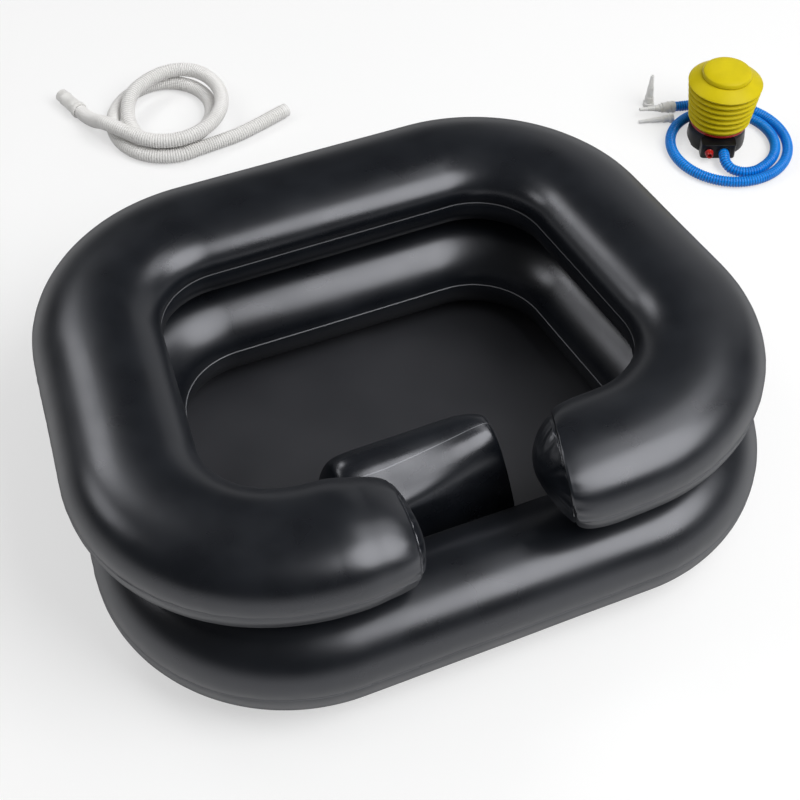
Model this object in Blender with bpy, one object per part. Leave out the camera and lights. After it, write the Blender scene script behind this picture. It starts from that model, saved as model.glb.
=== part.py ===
"""A portable shampoo basin with its drain hose and its foot pump.

Two air tubes stand on a floor sheet: a closed lower ring and an open upper ring whose
gap takes the neck. Metres, +Z up, the neck side at -Y, the origin under the floor sheet.
"""
import math

import bmesh
import bpy
from mathutils import Matrix, Vector

# The basin's outline, each value a distance from the origin to the tube's outer side
FRONT_HALF_WIDTH = 0.340
BACK_HALF_WIDTH = 0.3004
UPPER_FRONT = 0.2334
UPPER_BACK = 0.2847
UPPER_FRONT_CORNER = 0.186
UPPER_BACK_CORNER = 0.188
LOWER_INSET = 0.009
LOWER_FRONT = 0.2571
LOWER_BACK = 0.2617
LOWER_FRONT_CORNER = 0.180
LOWER_BACK_CORNER = 0.190

# The two air tubes
UPPER_HALF_WIDTH = 0.0608
UPPER_HALF_HEIGHT = 0.0420
LOWER_HALF_WIDTH = 0.0589
LOWER_HALF_HEIGHT = 0.0489
SECTION_POWER = 2.25
SECTION_SIDES = 16
CORNER_STEPS = 9
NECK_GAP = 0.148
CAP_BULGE = 0.0155

FILM = 0.0005
SEAT_GAP = 0.0003
CUT_OVERRUN = 0.004
FLOOR_LAP = 0.010

# The neck pillow stands just behind the lower ring's front run
PILLOW_LEFT = -0.112
PILLOW_WIDTH = 0.161
PILLOW_DEPTH = 0.0880
PILLOW_HEIGHT = 0.1375
PILLOW_GAP = 0.0006

# Air valves: a welded skirt, a stem with a bore, a plug on a strap and an inner flap
VALVE_STEM_RADIUS = 0.0046
VALVE_WALL = 0.0014
VALVE_BORE_RADIUS = VALVE_STEM_RADIUS - VALVE_WALL
VALVE_SKIRT_WIDTH = 0.0049
VALVE_SKIRT_RADIUS = VALVE_STEM_RADIUS + VALVE_SKIRT_WIDTH
VALVE_SKIRT = 0.0008
VALVE_REACH_OUT = 0.0070
VALVE_REACH_IN = 0.0140
VALVE_POCKET_EASE = 0.0016
VALVE_POCKET_RADIUS = VALVE_STEM_RADIUS + VALVE_POCKET_EASE
VALVE_POCKET_ROOM = 0.0090
PLUG_SHANK = 0.0060
PLUG_RIM = 0.0010
PLUG_CAP_RADIUS = VALVE_STEM_RADIUS + PLUG_RIM
PLUG_CAP = 0.0016
FLAP_THICKNESS = 0.0006
STRAP_WIDTH = 0.0030
STRAP_THICKNESS = 0.0010
UPPER_VALVE_X = -0.100
LOWER_VALVE_X = 0.090
PILLOW_VALVE_HEIGHT = 0.045

# The hose's cuff, which the drain's bore also takes
CUFF_RADIUS = 0.0088
CUFF_WALL = 0.0016
CUFF_BORE = CUFF_RADIUS - CUFF_WALL
CUFF_LENGTH = 0.034

# The drain in the floor sheet
DRAIN_FROM_SIDE = 0.175
DRAIN_X = -FRONT_HALF_WIDTH + DRAIN_FROM_SIDE
DRAIN_Y = -0.072
DRAIN_EASE = 0.0006
DRAIN_BORE_RADIUS = CUFF_RADIUS + DRAIN_EASE
DRAIN_HUB_WALL = 0.0028
DRAIN_HUB_RADIUS = DRAIN_BORE_RADIUS + DRAIN_HUB_WALL
DRAIN_HUB_HEIGHT = 0.0090
DRAIN_FLANGE_WIDTH = 0.0118
DRAIN_FLANGE_RADIUS = DRAIN_HUB_RADIUS + DRAIN_FLANGE_WIDTH
DRAIN_FLANGE = 0.0012
DRAIN_SHANK = 0.0042
DRAIN_CAP_RIM = 0.0013
DRAIN_CAP_RADIUS = DRAIN_HUB_RADIUS + DRAIN_CAP_RIM
DRAIN_CAP = 0.0018
DRAIN_TAB_HEIGHT = 0.0090

# The drain hose: ribbed, coiled twice, with the cuff on one end
SCREEN_TURN = math.radians(-23.1)
DRAIN_COIL_X = -0.0520
DRAIN_COIL_Y = 0.5860
DRAIN_HOSE_STEP = 0.0002
DRAIN_HOSE_RADIUS = CUFF_RADIUS - DRAIN_HOSE_STEP
DRAIN_HOSE_WALL = 0.0018
DRAIN_HOSE_BORE = DRAIN_HOSE_RADIUS - DRAIN_HOSE_WALL
DRAIN_RIB_DEPTH = 0.0010
DRAIN_RIBS = 90
COIL_OUTER = 0.0700
COIL_TOP = 0.0640
COIL_INNER = 0.0490
COIL_DEPTH_STRETCH = 1.10
COIL_LAYER_GAP = 0.0009
SPIGOT_EASE = 0.0010
SPIGOT_WALL = 0.0011
CUFF_SPIGOT_RADIUS = DRAIN_HOSE_BORE - SPIGOT_EASE
CUFF_SPIGOT_BORE = CUFF_SPIGOT_RADIUS - SPIGOT_WALL
CUFF_SPIGOT = 0.0090
COLLAR_RIM = 0.0015
COLLAR_RADIUS = DRAIN_HOSE_RADIUS + COLLAR_RIM
COLLAR_LENGTH = 0.0060

# The foot pump
PUMP_X = 0.539
PUMP_Y = 0.301
BASE_TAPER = 0.0015
BASE_TOP_RADIUS = 0.0325
BASE_RADIUS = BASE_TOP_RADIUS + BASE_TAPER
BASE_HEIGHT = 0.0250
BASE_WALL = 0.0040
BASE_FLOOR_LEVEL = 0.0065
FOOT_NOTCH = 0.0038
BLOCK_LEFT = -0.0240
BLOCK_RIGHT = 0.0165
BLOCK_REACH = 0.0090
BLOCK_FRONT = -BASE_RADIUS - BLOCK_REACH
BLOCK_BACK = -(BASE_TOP_RADIUS - BASE_WALL) * 0.92
BLOCK_BOTTOM = 0.0030
BLOCK_TOP = BASE_HEIGHT * 0.9
PORT_HEIGHT = BASE_HEIGHT / 2
PORT_LEFT_X = -0.0150
PORT_HOSE_X = 0.0020
PORT_WALL_X = (PORT_LEFT_X + PORT_HOSE_X) / 2
PORT_WALL = 0.0016
PLATE_RIM = 0.0005
BELLOWS_FOOT_RADIUS = BASE_TOP_RADIUS + PLATE_RIM
PLATE_RADIUS = BELLOWS_FOOT_RADIUS + PLATE_RIM
PLATE_THICKNESS = 0.0024
PLATE_HOLE_RADIUS = 0.0045
PLATE_HOLE_Y = 0.006
INLET_HOLE_X = -0.0165
OUTLET_HOLE_X = 0.0110
PUMP_FLAP_RIM = 0.0017
PUMP_FLAP_RADIUS = PLATE_HOLE_RADIUS + PUMP_FLAP_RIM
INTAKE_BORE = 0.0026
INTAKE_WALL = 0.0012
INTAKE_SPIGOT_RADIUS = INTAKE_BORE + INTAKE_WALL
INTAKE_RADIUS = INTAKE_SPIGOT_RADIUS + INTAKE_WALL
INTAKE_LENGTH = 0.0075
INTAKE_SPIGOT = 0.0110
BELLOWS_FOLDS = 7
BELLOWS_LOW_CREST = 0.0365
BELLOWS_HIGH_CREST = 0.0430
BELLOWS_FOLD_DEPTH = 0.0048
BELLOWS_FOLD_PITCH = 0.0081
BELLOWS_WALL = 0.0011
BELLOWS_SHOULDER = 0.0062
TREAD_RADIUS = 0.0285
TREAD_HEIGHT = 0.0080

# The pump's hose with its connector and three nozzles
PUMP_HOSE_RADIUS = 0.0062
PUMP_HOSE_WALL = 0.0018
PUMP_HOSE_BORE = PUMP_HOSE_RADIUS - PUMP_HOSE_WALL
PUMP_RIB_DEPTH = 0.0008
PUMP_RIBS = 72
LOOP_CENTRE_X = 0.0090
LOOP_CENTRE_Y = -0.0200
LOOP_START = 0.0582
LOOP_GROWTH = 0.0146
CONNECTOR_RIM = 0.0010
CONNECTOR_RADIUS = PUMP_HOSE_RADIUS + CONNECTOR_RIM
CONNECTOR_WALL = 0.0032
CONNECTOR_BORE = CONNECTOR_RADIUS - CONNECTOR_WALL
CONNECTOR_LENGTH = 0.0165
CONNECTOR_SPIGOT_EASE = 0.0008
CONNECTOR_SPIGOT_WALL = 0.0012
CONNECTOR_SPIGOT_RADIUS = PUMP_HOSE_BORE - CONNECTOR_SPIGOT_EASE
CONNECTOR_SPIGOT_BORE = CONNECTOR_SPIGOT_RADIUS - CONNECTOR_SPIGOT_WALL
CONNECTOR_SPIGOT = 0.0100
NOZZLE_SMALL_LENGTH = 0.0280
NOZZLE_SMALL_RADIUS = 0.0050
NOZZLE_TIP_RADIUS = 0.0021
NOZZLE_BORE = 0.0012
NOZZLE_SPIGOT = 0.0090
NOZZLE_MEDIUM_LENGTH = 0.0420
NOZZLE_MEDIUM_RADIUS = 0.0056
NOZZLE_LARGE_LENGTH = 0.0450
NOZZLE_LARGE_RADIUS = 0.0068
NOZZLE_MEDIUM_X = -0.0470
NOZZLE_MEDIUM_Y = 0.0290
NOZZLE_LARGE_X = -0.0735
NOZZLE_LARGE_Y = 0.0610

ROUND_STEPS = 16
WIDE_STEPS = 28
HOSE_SIDES = 8
BORE_STRIDE = 4

# Heights worked out from the sizes above
LOWER_BOTTOM = FILM + SEAT_GAP
LOWER_MIDDLE = LOWER_BOTTOM + LOWER_HALF_HEIGHT
LOWER_TOP = LOWER_MIDDLE + LOWER_HALF_HEIGHT
UPPER_MIDDLE = LOWER_TOP + SEAT_GAP + UPPER_HALF_HEIGHT
PLATE_BOTTOM = BASE_HEIGHT + SEAT_GAP
PLATE_TOP = PLATE_BOTTOM + PLATE_THICKNESS
BELLOWS_BOTTOM = PLATE_TOP + SEAT_GAP
BELLOWS_TOP = BELLOWS_BOTTOM + BELLOWS_FOLDS * BELLOWS_FOLD_PITCH + BELLOWS_SHOULDER

# The uncoiled ends of the hoses, from the coil's centre: right, away, up
CUFF_END = (-0.1130, 0.0110, 0.0104)
TAIL_IN = [
    (-0.0995, -0.0042, 0.0104),
    (-0.0865, -0.0188, 0.0155),
    (-0.0690, -0.0375, 0.0262),
]
TAIL_OUT = [
    (0.0800, -0.0400, 0.0088),
    (0.1020, -0.0230, 0.0088),
    (0.1230, -0.0045, 0.0088),
    (0.1400, 0.0110, 0.0088),
]
PUMP_HOSE_OUT = [
    (0.0026, -0.0580, 0.0106),
    (0.0085, -0.0672, 0.0080),
    (0.0215, -0.0720, 0.0066),
    (0.0360, -0.0694, 0.0065),
]
PUMP_HOSE_END = [
    (-0.0120, 0.0560, 0.0064),
    (-0.0290, 0.0525, 0.0064),
    (-0.0440, 0.0490, 0.0075),
]


def clear_scene():
    for thing in list(bpy.data.objects):
        bpy.data.objects.remove(thing, do_unlink=True)


def plastic(name, colour, roughness):
    made = bpy.data.materials.new(name)
    made.use_nodes = True
    shader = made.node_tree.nodes["Principled BSDF"]
    shader.inputs["Base Color"].default_value = (*colour, 1)
    shader.inputs["Roughness"].default_value = roughness
    shader.inputs["Metallic"].default_value = 0
    return made


def empty(name, place, turn=0.0):
    made = bpy.data.objects.new(name, None)
    bpy.context.collection.objects.link(made)
    made.location = place
    made.rotation_euler = (0, 0, turn)
    return made


def finish(name, bm, material, place=(0, 0, 0), turn=(0, 0, 0), parent=None):
    """Makes the object; its mesh is drawn about its own origin, which then goes to place."""
    bmesh.ops.recalc_face_normals(bm, faces=bm.faces[:])
    mesh = bpy.data.meshes.new(name)
    bm.to_mesh(mesh)
    bm.free()
    mesh.shade_smooth()
    mesh.set_sharp_from_angle(angle=math.radians(40))
    made = bpy.data.objects.new(name, mesh)
    bpy.context.collection.objects.link(made)
    made.data.materials.append(material)
    made.parent = parent
    made.location = place
    made.rotation_euler = turn
    return made


def boolean(target, tool, operation="DIFFERENCE"):
    tool.hide_render = True
    tool.display_type = "WIRE"
    step = target.modifiers.new(tool.name, "BOOLEAN")
    step.operation = operation
    step.solver = "EXACT"
    step.object = tool


def turned(profile, steps=ROUND_STEPS):
    """A solid of revolution about Z from a closed outline of (radius, height) points."""
    bm = bmesh.new()
    verts = [bm.verts.new((radius, 0, height)) for radius, height in profile]
    pairs = zip(verts, verts[1:] + verts[:1])
    edges = [bm.edges.new(pair) for pair in pairs if pair[0].co.x + pair[1].co.x > 0]
    bmesh.ops.spin(
        bm, geom=verts + edges, cent=(0, 0, 0), axis=(0, 0, 1), angle=math.tau, steps=steps, use_merge=True
    )
    bmesh.ops.remove_doubles(bm, verts=bm.verts[:], dist=min(FILM, SEAT_GAP) / 100)
    return bm


def loft(rings, capped=True):
    """Skins a list of rings of points; the ends are closed, or the last ring meets the first."""
    bm = bmesh.new()
    rows = [[bm.verts.new(point) for point in ring] for ring in rings]
    following = rows[1:] if capped else rows[1:] + rows[:1]
    for row, after in zip(rows, following):
        for j in range(len(row)):
            k = (j + 1) % len(row)
            bm.faces.new((row[j], row[k], after[k], after[j]))
    if capped:
        bm.faces.new(rows[0])
        bm.faces.new(rows[-1])
    return bm


def box(low, high):
    bm = bmesh.new()
    bmesh.ops.create_cube(bm, size=1)
    size = Vector(high) - Vector(low)
    middle = (Vector(high) + Vector(low)) / 2
    placed = Matrix.Translation(middle) @ Matrix.Diagonal((*size, 1))
    bmesh.ops.transform(bm, matrix=placed, verts=bm.verts[:])
    return bm


def rounded_outline(front, back, half_front, half_back, front_corner, back_corner):
    """Points and outward directions of a rounded trapezium, from the middle of its front side."""
    corners = [((half_front, -front), front_corner), ((half_back, back), back_corner)]
    corners += [((-half_back, back), back_corner), ((-half_front, -front), front_corner)]
    spots = [Vector(corner) for corner, _ in corners]
    points = [Vector((0, -front))]
    outward = [Vector((0, -1))]
    for i, (_, radius) in enumerate(corners):
        before = (spots[i] - spots[i - 1]).normalized()
        after = (spots[(i + 1) % 4] - spots[i]).normalized()
        bend = before.angle(after)
        start = spots[i] - before * radius * math.tan(bend / 2)
        normal = Vector((before.y, -before.x))
        centre = start - normal * radius
        for step in range(CORNER_STEPS + 1):
            turn = Matrix.Rotation(bend * step / CORNER_STEPS, 2)
            points.append(centre + turn @ normal * radius)
            outward.append(turn @ normal)
        if i == 1:
            points.append((points[-1] + Vector((-points[-1].x, points[-1].y))) / 2)
            outward.append(Vector((0, 1)))
    return points, outward


def centre_path(front, back, inset, half_width, front_corner, back_corner):
    return rounded_outline(
        front - half_width,
        back - half_width,
        FRONT_HALF_WIDTH - inset - half_width,
        BACK_HALF_WIDTH - inset - half_width,
        front_corner - half_width,
        back_corner - half_width,
    )


def section(half_width, half_height):
    """A tube's section: a superellipse with flats at its top, bottom, inside and outside."""
    points = []
    for j in range(SECTION_SIDES):
        angle = math.tau * (j + 0.5) / SECTION_SIDES
        c, s = math.cos(angle), math.sin(angle)
        across = math.copysign(abs(c) ** (2 / SECTION_POWER), c)
        up = math.copysign(abs(s) ** (2 / SECTION_POWER), s)
        points.append((across, up))
    widest = max(across for across, _ in points)
    return [(half_width * across / widest, half_height * up / widest) for across, up in points]


def tube_ring(point, outward, shape, middle, share=1.0):
    return [Vector((*(point + outward * across * share), middle + up * share)) for across, up in shape]


def lower_path():
    corners = LOWER_FRONT_CORNER, LOWER_BACK_CORNER
    return centre_path(LOWER_FRONT, LOWER_BACK, LOWER_INSET, LOWER_HALF_WIDTH, *corners)


def lower_ring(film):
    path, outward = lower_path()
    shape = section(LOWER_HALF_WIDTH, LOWER_HALF_HEIGHT)
    rings = [tube_ring(p, n, shape, LOWER_MIDDLE) for p, n in zip(path, outward)]
    return finish("lower_ring_chamber", loft(rings, capped=False), film)


def upper_ring(film):
    corners = UPPER_FRONT_CORNER, UPPER_BACK_CORNER
    path, outward = centre_path(UPPER_FRONT, UPPER_BACK, 0, UPPER_HALF_WIDTH, *corners)
    shape = section(UPPER_HALF_WIDTH, UPPER_HALF_HEIGHT)
    front = path[0].y
    ends = [Vector((NECK_GAP / 2, front)), Vector((-NECK_GAP / 2, front))]
    path = [ends[0]] + path[1:] + [ends[1]]
    outward = outward + [outward[0]]
    rings = [tube_ring(p, n, shape, UPPER_MIDDLE) for p, n in zip(path, outward)]
    return finish("upper_ring_chamber", loft(rings), film)


def end_cap(name, side, film):
    """The bulged panel that closes one end of the upper ring; side is 1 on the right."""
    shape = section(UPPER_HALF_WIDTH, UPPER_HALF_HEIGHT)
    front = -(UPPER_FRONT - UPPER_HALF_WIDTH)
    start = NECK_GAP / 2 - SEAT_GAP
    bulge_shares = [(0, 0.985), (0.30, 0.955), (0.62, 0.86), (0.86, 0.68), (1, 0.40)]
    rings = []
    for depth_share, size_share in bulge_shares:
        point = Vector((side * (start - CAP_BULGE * depth_share), front))
        rings.append(tube_ring(point, Vector((0, -1)), shape, UPPER_MIDDLE, size_share))
    return finish(name, loft(rings), film)


def floor_sheet(film):
    path, outward = lower_path()
    edge = [p + n * FLOOR_LAP for p, n in zip(path, outward)]
    rings = [[Vector((*p, height)) for p in edge] for height in (0, FILM)]
    sheet = finish("basin_floor", loft(rings), film)
    reach = FILM + CUT_OVERRUN
    radius = DRAIN_HUB_RADIUS + SEAT_GAP
    hole = turned([(0, -reach), (radius, -reach), (radius, reach), (0, reach)])
    boolean(sheet, finish("drain_hole_cutter", hole, film, (DRAIN_X, DRAIN_Y, 0)))
    return sheet


def pillow(film):
    """A wedge with a hollowed front face, a crowned top and a steep back."""
    front = -(LOWER_FRONT - 2 * LOWER_HALF_WIDTH) + PILLOW_GAP
    outline_shares = [
        (0, 0), (0, 0.42), (0.20, 0.70), (0.37, 0.94), (0.44, 0.985), (0.54, 1),
        (0.68, 0.975), (0.84, 0.88), (0.96, 0.70), (1, 0.52), (1, 0.28), (1, 0),
    ]
    station_shares = [
        (0, 0.70, 0.70), (0.025, 0.86, 0.86), (0.075, 0.95, 0.95), (0.16, 0.99, 1), (0.30, 1, 1),
        (0.50, 1, 1), (0.70, 1, 1), (0.86, 0.985, 0.97), (0.95, 0.955, 0.90), (0.985, 0.93, 0.82),
        (1, 0.89, 0.74),
    ]
    rings = []
    for x_share, height_share, depth_share in station_shares:
        ring = []
        for y_share, z_share in outline_shares:
            y = front + PILLOW_DEPTH * y_share * (depth_share if y_share > 0.4 else 1)
            z = LOWER_BOTTOM + PILLOW_HEIGHT * z_share * height_share
            ring.append(Vector((PILLOW_LEFT + PILLOW_WIDTH * x_share, y, z)))
        rings.append(ring)
    return finish("neck_pillow", loft(rings), film), front + PILLOW_DEPTH


def air_valve(prefix, chamber, x, wall_y, height, soft, clear):
    """A valve on a wall that faces +Y: body with strap, plug and flap, in a pocket of the chamber."""
    out = (-math.pi / 2, 0, 0)
    seat = VALVE_SKIRT + SEAT_GAP
    place = (x, wall_y, height)
    depth = VALVE_REACH_IN + VALVE_POCKET_ROOM
    room = VALVE_POCKET_RADIUS
    pocket = turned([(0, -depth), (room, -depth), (room, CUT_OVERRUN), (0, CUT_OVERRUN)])
    boolean(chamber, finish(prefix + "_pocket_cutter", pocket, soft, place, out))
    body = turned([
        (VALVE_BORE_RADIUS, -VALVE_REACH_IN),
        (VALVE_STEM_RADIUS, -VALVE_REACH_IN),
        (VALVE_STEM_RADIUS, SEAT_GAP),
        (VALVE_SKIRT_RADIUS, SEAT_GAP),
        (VALVE_SKIRT_RADIUS, seat),
        (VALVE_STEM_RADIUS, seat),
        (VALVE_STEM_RADIUS, VALVE_REACH_OUT),
        (VALVE_BORE_RADIUS, VALVE_REACH_OUT),
    ])
    body = finish(prefix + "_body", body, clear, place, out)
    strap_start = VALVE_STEM_RADIUS - (VALVE_STEM_RADIUS - VALVE_BORE_RADIUS) / 2
    strap_end = PLUG_CAP_RADIUS + SEAT_GAP + STRAP_THICKNESS
    low = (-STRAP_WIDTH / 2, strap_start, seat * 2)
    high = (STRAP_WIDTH / 2, strap_end, seat * 2 + STRAP_THICKNESS)
    arm = finish(prefix + "_strap_arm", box(low, high), clear, place, out)
    boolean(body, arm, "UNION")
    low = (-STRAP_WIDTH / 2, strap_end - STRAP_THICKNESS, seat * 2 + STRAP_THICKNESS / 2)
    high = (STRAP_WIDTH / 2, strap_end, VALVE_REACH_OUT + SEAT_GAP + PLUG_CAP / 2)
    rise = finish(prefix + "_strap_rise", box(low, high), clear, place, out)
    boolean(body, rise, "UNION")
    shank = VALVE_BORE_RADIUS - SEAT_GAP
    cap = VALVE_REACH_OUT + SEAT_GAP
    plug = turned([
        (0, VALVE_REACH_OUT - PLUG_SHANK),
        (shank * 0.85, VALVE_REACH_OUT - PLUG_SHANK),
        (shank, VALVE_REACH_OUT - PLUG_SHANK * 0.8),
        (shank, cap),
        (PLUG_CAP_RADIUS, cap),
        (PLUG_CAP_RADIUS, cap + PLUG_CAP * 0.7),
        (PLUG_CAP_RADIUS - PLUG_CAP * 0.3, cap + PLUG_CAP),
        (0, cap + PLUG_CAP),
    ])
    finish(prefix + "_plug", plug, clear, place, out)
    back = -VALVE_REACH_IN - SEAT_GAP
    radius = VALVE_STEM_RADIUS
    disc = turned([(0, -FLAP_THICKNESS), (radius, -FLAP_THICKNESS), (radius, 0), (0, 0)])
    bmesh.ops.translate(disc, verts=disc.verts[:], vec=(0, radius, 0))
    finish(prefix + "_flap", disc, soft, (x, wall_y + back, height + radius), out)


def drain(clear, soft):
    bottom = SEAT_GAP
    seat = FILM + SEAT_GAP
    place = (DRAIN_X, DRAIN_Y, 0)
    ring = turned([
        (DRAIN_BORE_RADIUS, bottom),
        (DRAIN_HUB_RADIUS, bottom),
        (DRAIN_HUB_RADIUS, seat),
        (DRAIN_FLANGE_RADIUS, seat),
        (DRAIN_FLANGE_RADIUS, seat + DRAIN_FLANGE * 0.6),
        (DRAIN_FLANGE_RADIUS - DRAIN_FLANGE, seat + DRAIN_FLANGE),
        (DRAIN_HUB_RADIUS, seat + DRAIN_FLANGE),
        (DRAIN_HUB_RADIUS, DRAIN_HUB_HEIGHT),
        (DRAIN_BORE_RADIUS, DRAIN_HUB_HEIGHT),
    ])
    finish("drain_ring", ring, clear, place)
    shank = DRAIN_BORE_RADIUS - SEAT_GAP
    cap = DRAIN_HUB_HEIGHT + SEAT_GAP
    stopper = turned([
        (0, DRAIN_HUB_HEIGHT - DRAIN_SHANK),
        (shank * 0.93, DRAIN_HUB_HEIGHT - DRAIN_SHANK),
        (shank, DRAIN_HUB_HEIGHT - DRAIN_SHANK * 0.75),
        (shank, cap),
        (DRAIN_CAP_RADIUS, cap),
        (DRAIN_CAP_RADIUS, cap + DRAIN_CAP * 0.7),
        (DRAIN_CAP_RADIUS - DRAIN_CAP * 0.3, cap + DRAIN_CAP),
        (0, cap + DRAIN_CAP),
    ])
    stopper = finish("drain_stopper", stopper, soft, place)
    tab_half = DRAIN_CAP_RADIUS * 0.45
    low = (-tab_half, -STRAP_THICKNESS, cap + DRAIN_CAP / 2)
    high = (tab_half, STRAP_THICKNESS, cap + DRAIN_CAP + DRAIN_TAB_HEIGHT)
    boolean(stopper, finish("drain_stopper_tab", box(low, high), soft, place), "UNION")


def smooth_route(points, count):
    """Evenly spaced points along a smooth curve through the given ones."""
    spots = [Vector(point) for point in points]
    spots = [spots[0] * 2 - spots[1]] + spots + [spots[-1] * 2 - spots[-2]]
    fine = []
    pieces = 12
    for i in range(1, len(spots) - 2):
        before, here, there, after = spots[i - 1:i + 3]
        for step in range(pieces):
            t = step / pieces
            bend = (before * 2 - here * 5 + there * 4 - after) * t ** 2
            twist = (here * 3 - before - there * 3 + after) * t ** 3
            fine.append(here + ((there - before) * t + bend + twist) / 2)
    fine.append(spots[-2])
    travelled = [0]
    for before, here in zip(fine, fine[1:]):
        travelled.append(travelled[-1] + (here - before).length)
    even = []
    i = 0
    for step in range(count):
        goal = travelled[-1] * step / (count - 1)
        while i < len(fine) - 2 and travelled[i + 1] < goal:
            i += 1
        share = (goal - travelled[i]) / (travelled[i + 1] - travelled[i])
        even.append(fine[i].lerp(fine[i + 1], min(share, 1)))
    return even, travelled[-1]


def along(route, radii):
    """Rings of points round a route, one radius for each of its points."""
    rings = []
    for i, (point, radius) in enumerate(zip(route, radii)):
        ahead = (route[min(i + 1, len(route) - 1)] - route[max(i - 1, 0)]).normalized()
        side = ahead.cross(Vector((0, 0, 1))).normalized()
        up = side.cross(ahead)
        ring = []
        for j in range(HOSE_SIDES):
            angle = math.tau * (j + 0.5) / HOSE_SIDES
            ring.append(point + (side * math.cos(angle) + up * math.sin(angle)) * radius)
        rings.append(ring)
    return rings


def least_self_gap(route, radius):
    """The least clear distance between stretches of one route that aren't next to each other."""
    spacing = (route[1] - route[0]).length
    apart = int(math.pi * radius / spacing) + 2
    least = math.inf
    for i, here in enumerate(route):
        for there in route[i + apart:]:
            least = min(least, (here - there).length)
    return least - 2 * radius


def ribbed_hose(name, points, radius, bore, rib_depth, ribs, material, parent):
    """A ribbed hose with its bore: two outer rings to each rib, plainer rings inside."""
    count = ribs * 2 + 1
    route, length = smooth_route(points, count)
    radii = [radius - rib_depth * (i % 2) for i in range(count)]
    plain_ends = max(2, round(radius / length * count))
    for i in range(plain_ends):
        radii[i] = radius - rib_depth / 2
        radii[-1 - i] = radius - rib_depth / 2
    outer = along(route, radii)
    inner_route = route[:-BORE_STRIDE:BORE_STRIDE] + [route[-1]]
    inner = along(inner_route, [bore] * len(inner_route))
    inner[0] = [route[0] + (p - route[0]) * (bore / radii[0]) for p in outer[0]]
    inner[-1] = [route[-1] + (p - route[-1]) * (bore / radii[-1]) for p in outer[-1]]
    bm = loft(outer + inner[::-1], capped=False)
    print(f"{name}: {length:.4f} m long, least gap to itself {least_self_gap(route, radius) * 1000:.2f} mm")
    finish(name, bm, material, parent=parent)
    return route, length


def eased(share):
    share = min(max(share, 0), 1)
    return share * share * (3 - 2 * share)


def drain_coil():
    """Two turns: the top layer shrinks and drops inside the bottom one, which leaves outside."""
    low = CUFF_RADIUS
    high = low + DRAIN_HOSE_RADIUS * 2 + COIL_LAYER_GAP
    points = []
    turns = (240, 420, 500, 600, 680, 968, 1026)
    first, shrink, drop, landed, spread, widest, leave = (math.radians(turn) for turn in turns)
    steps = 44
    for step in range(steps):
        angle = first + (leave - first) * step / (steps - 1)
        radius = COIL_TOP + (COIL_INNER - COIL_TOP) * eased((angle - shrink) / (drop - shrink))
        radius += (COIL_OUTER - COIL_INNER) * eased((angle - spread) / (widest - spread))
        height = high + (low - high) * eased((angle - drop) / (landed - drop))
        points.append((radius * math.cos(angle), radius * math.sin(angle) * COIL_DEPTH_STRETCH, height))
    return points


def facing(start, end):
    """The turn that lays Z along the line from start to end."""
    return (Vector(end) - Vector(start)).to_track_quat("Z", "Y").to_euler()


def drain_hose(white):
    rest = empty("drain_hose_rest", (DRAIN_COIL_X, DRAIN_COIL_Y, 0), SCREEN_TURN)
    points = [CUFF_END] + TAIL_IN + drain_coil() + TAIL_OUT
    route, _ = ribbed_hose(
        "drain_hose", points, DRAIN_HOSE_RADIUS, DRAIN_HOSE_BORE, DRAIN_RIB_DEPTH, DRAIN_RIBS, white, rest
    )
    back = route[0] * 2 - route[1]
    turn = facing(route[0], back)
    cuff = turned([
        (CUFF_SPIGOT_BORE, -CUFF_SPIGOT),
        (CUFF_SPIGOT_RADIUS, -CUFF_SPIGOT),
        (CUFF_SPIGOT_RADIUS, SEAT_GAP),
        (CUFF_RADIUS, SEAT_GAP),
        (CUFF_RADIUS, CUFF_LENGTH * 0.70),
        (CUFF_RADIUS * 0.94, CUFF_LENGTH * 0.74),
        (CUFF_RADIUS * 0.94, CUFF_LENGTH),
        (CUFF_BORE, CUFF_LENGTH),
        (CUFF_BORE, CUFF_LENGTH * 0.2),
        (CUFF_SPIGOT_BORE, CUFF_LENGTH * 0.08),
    ])
    finish("drain_hose_cuff", cuff, white, route[0], turn, rest)
    inner = DRAIN_HOSE_RADIUS - DRAIN_RIB_DEPTH / 2 + SEAT_GAP
    collar = turned([(inner, -COLLAR_LENGTH), (COLLAR_RADIUS, -COLLAR_LENGTH), (COLLAR_RADIUS, 0), (inner, 0)])
    finish("drain_hose_collar", collar, white, route[0], turn, rest)


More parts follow.
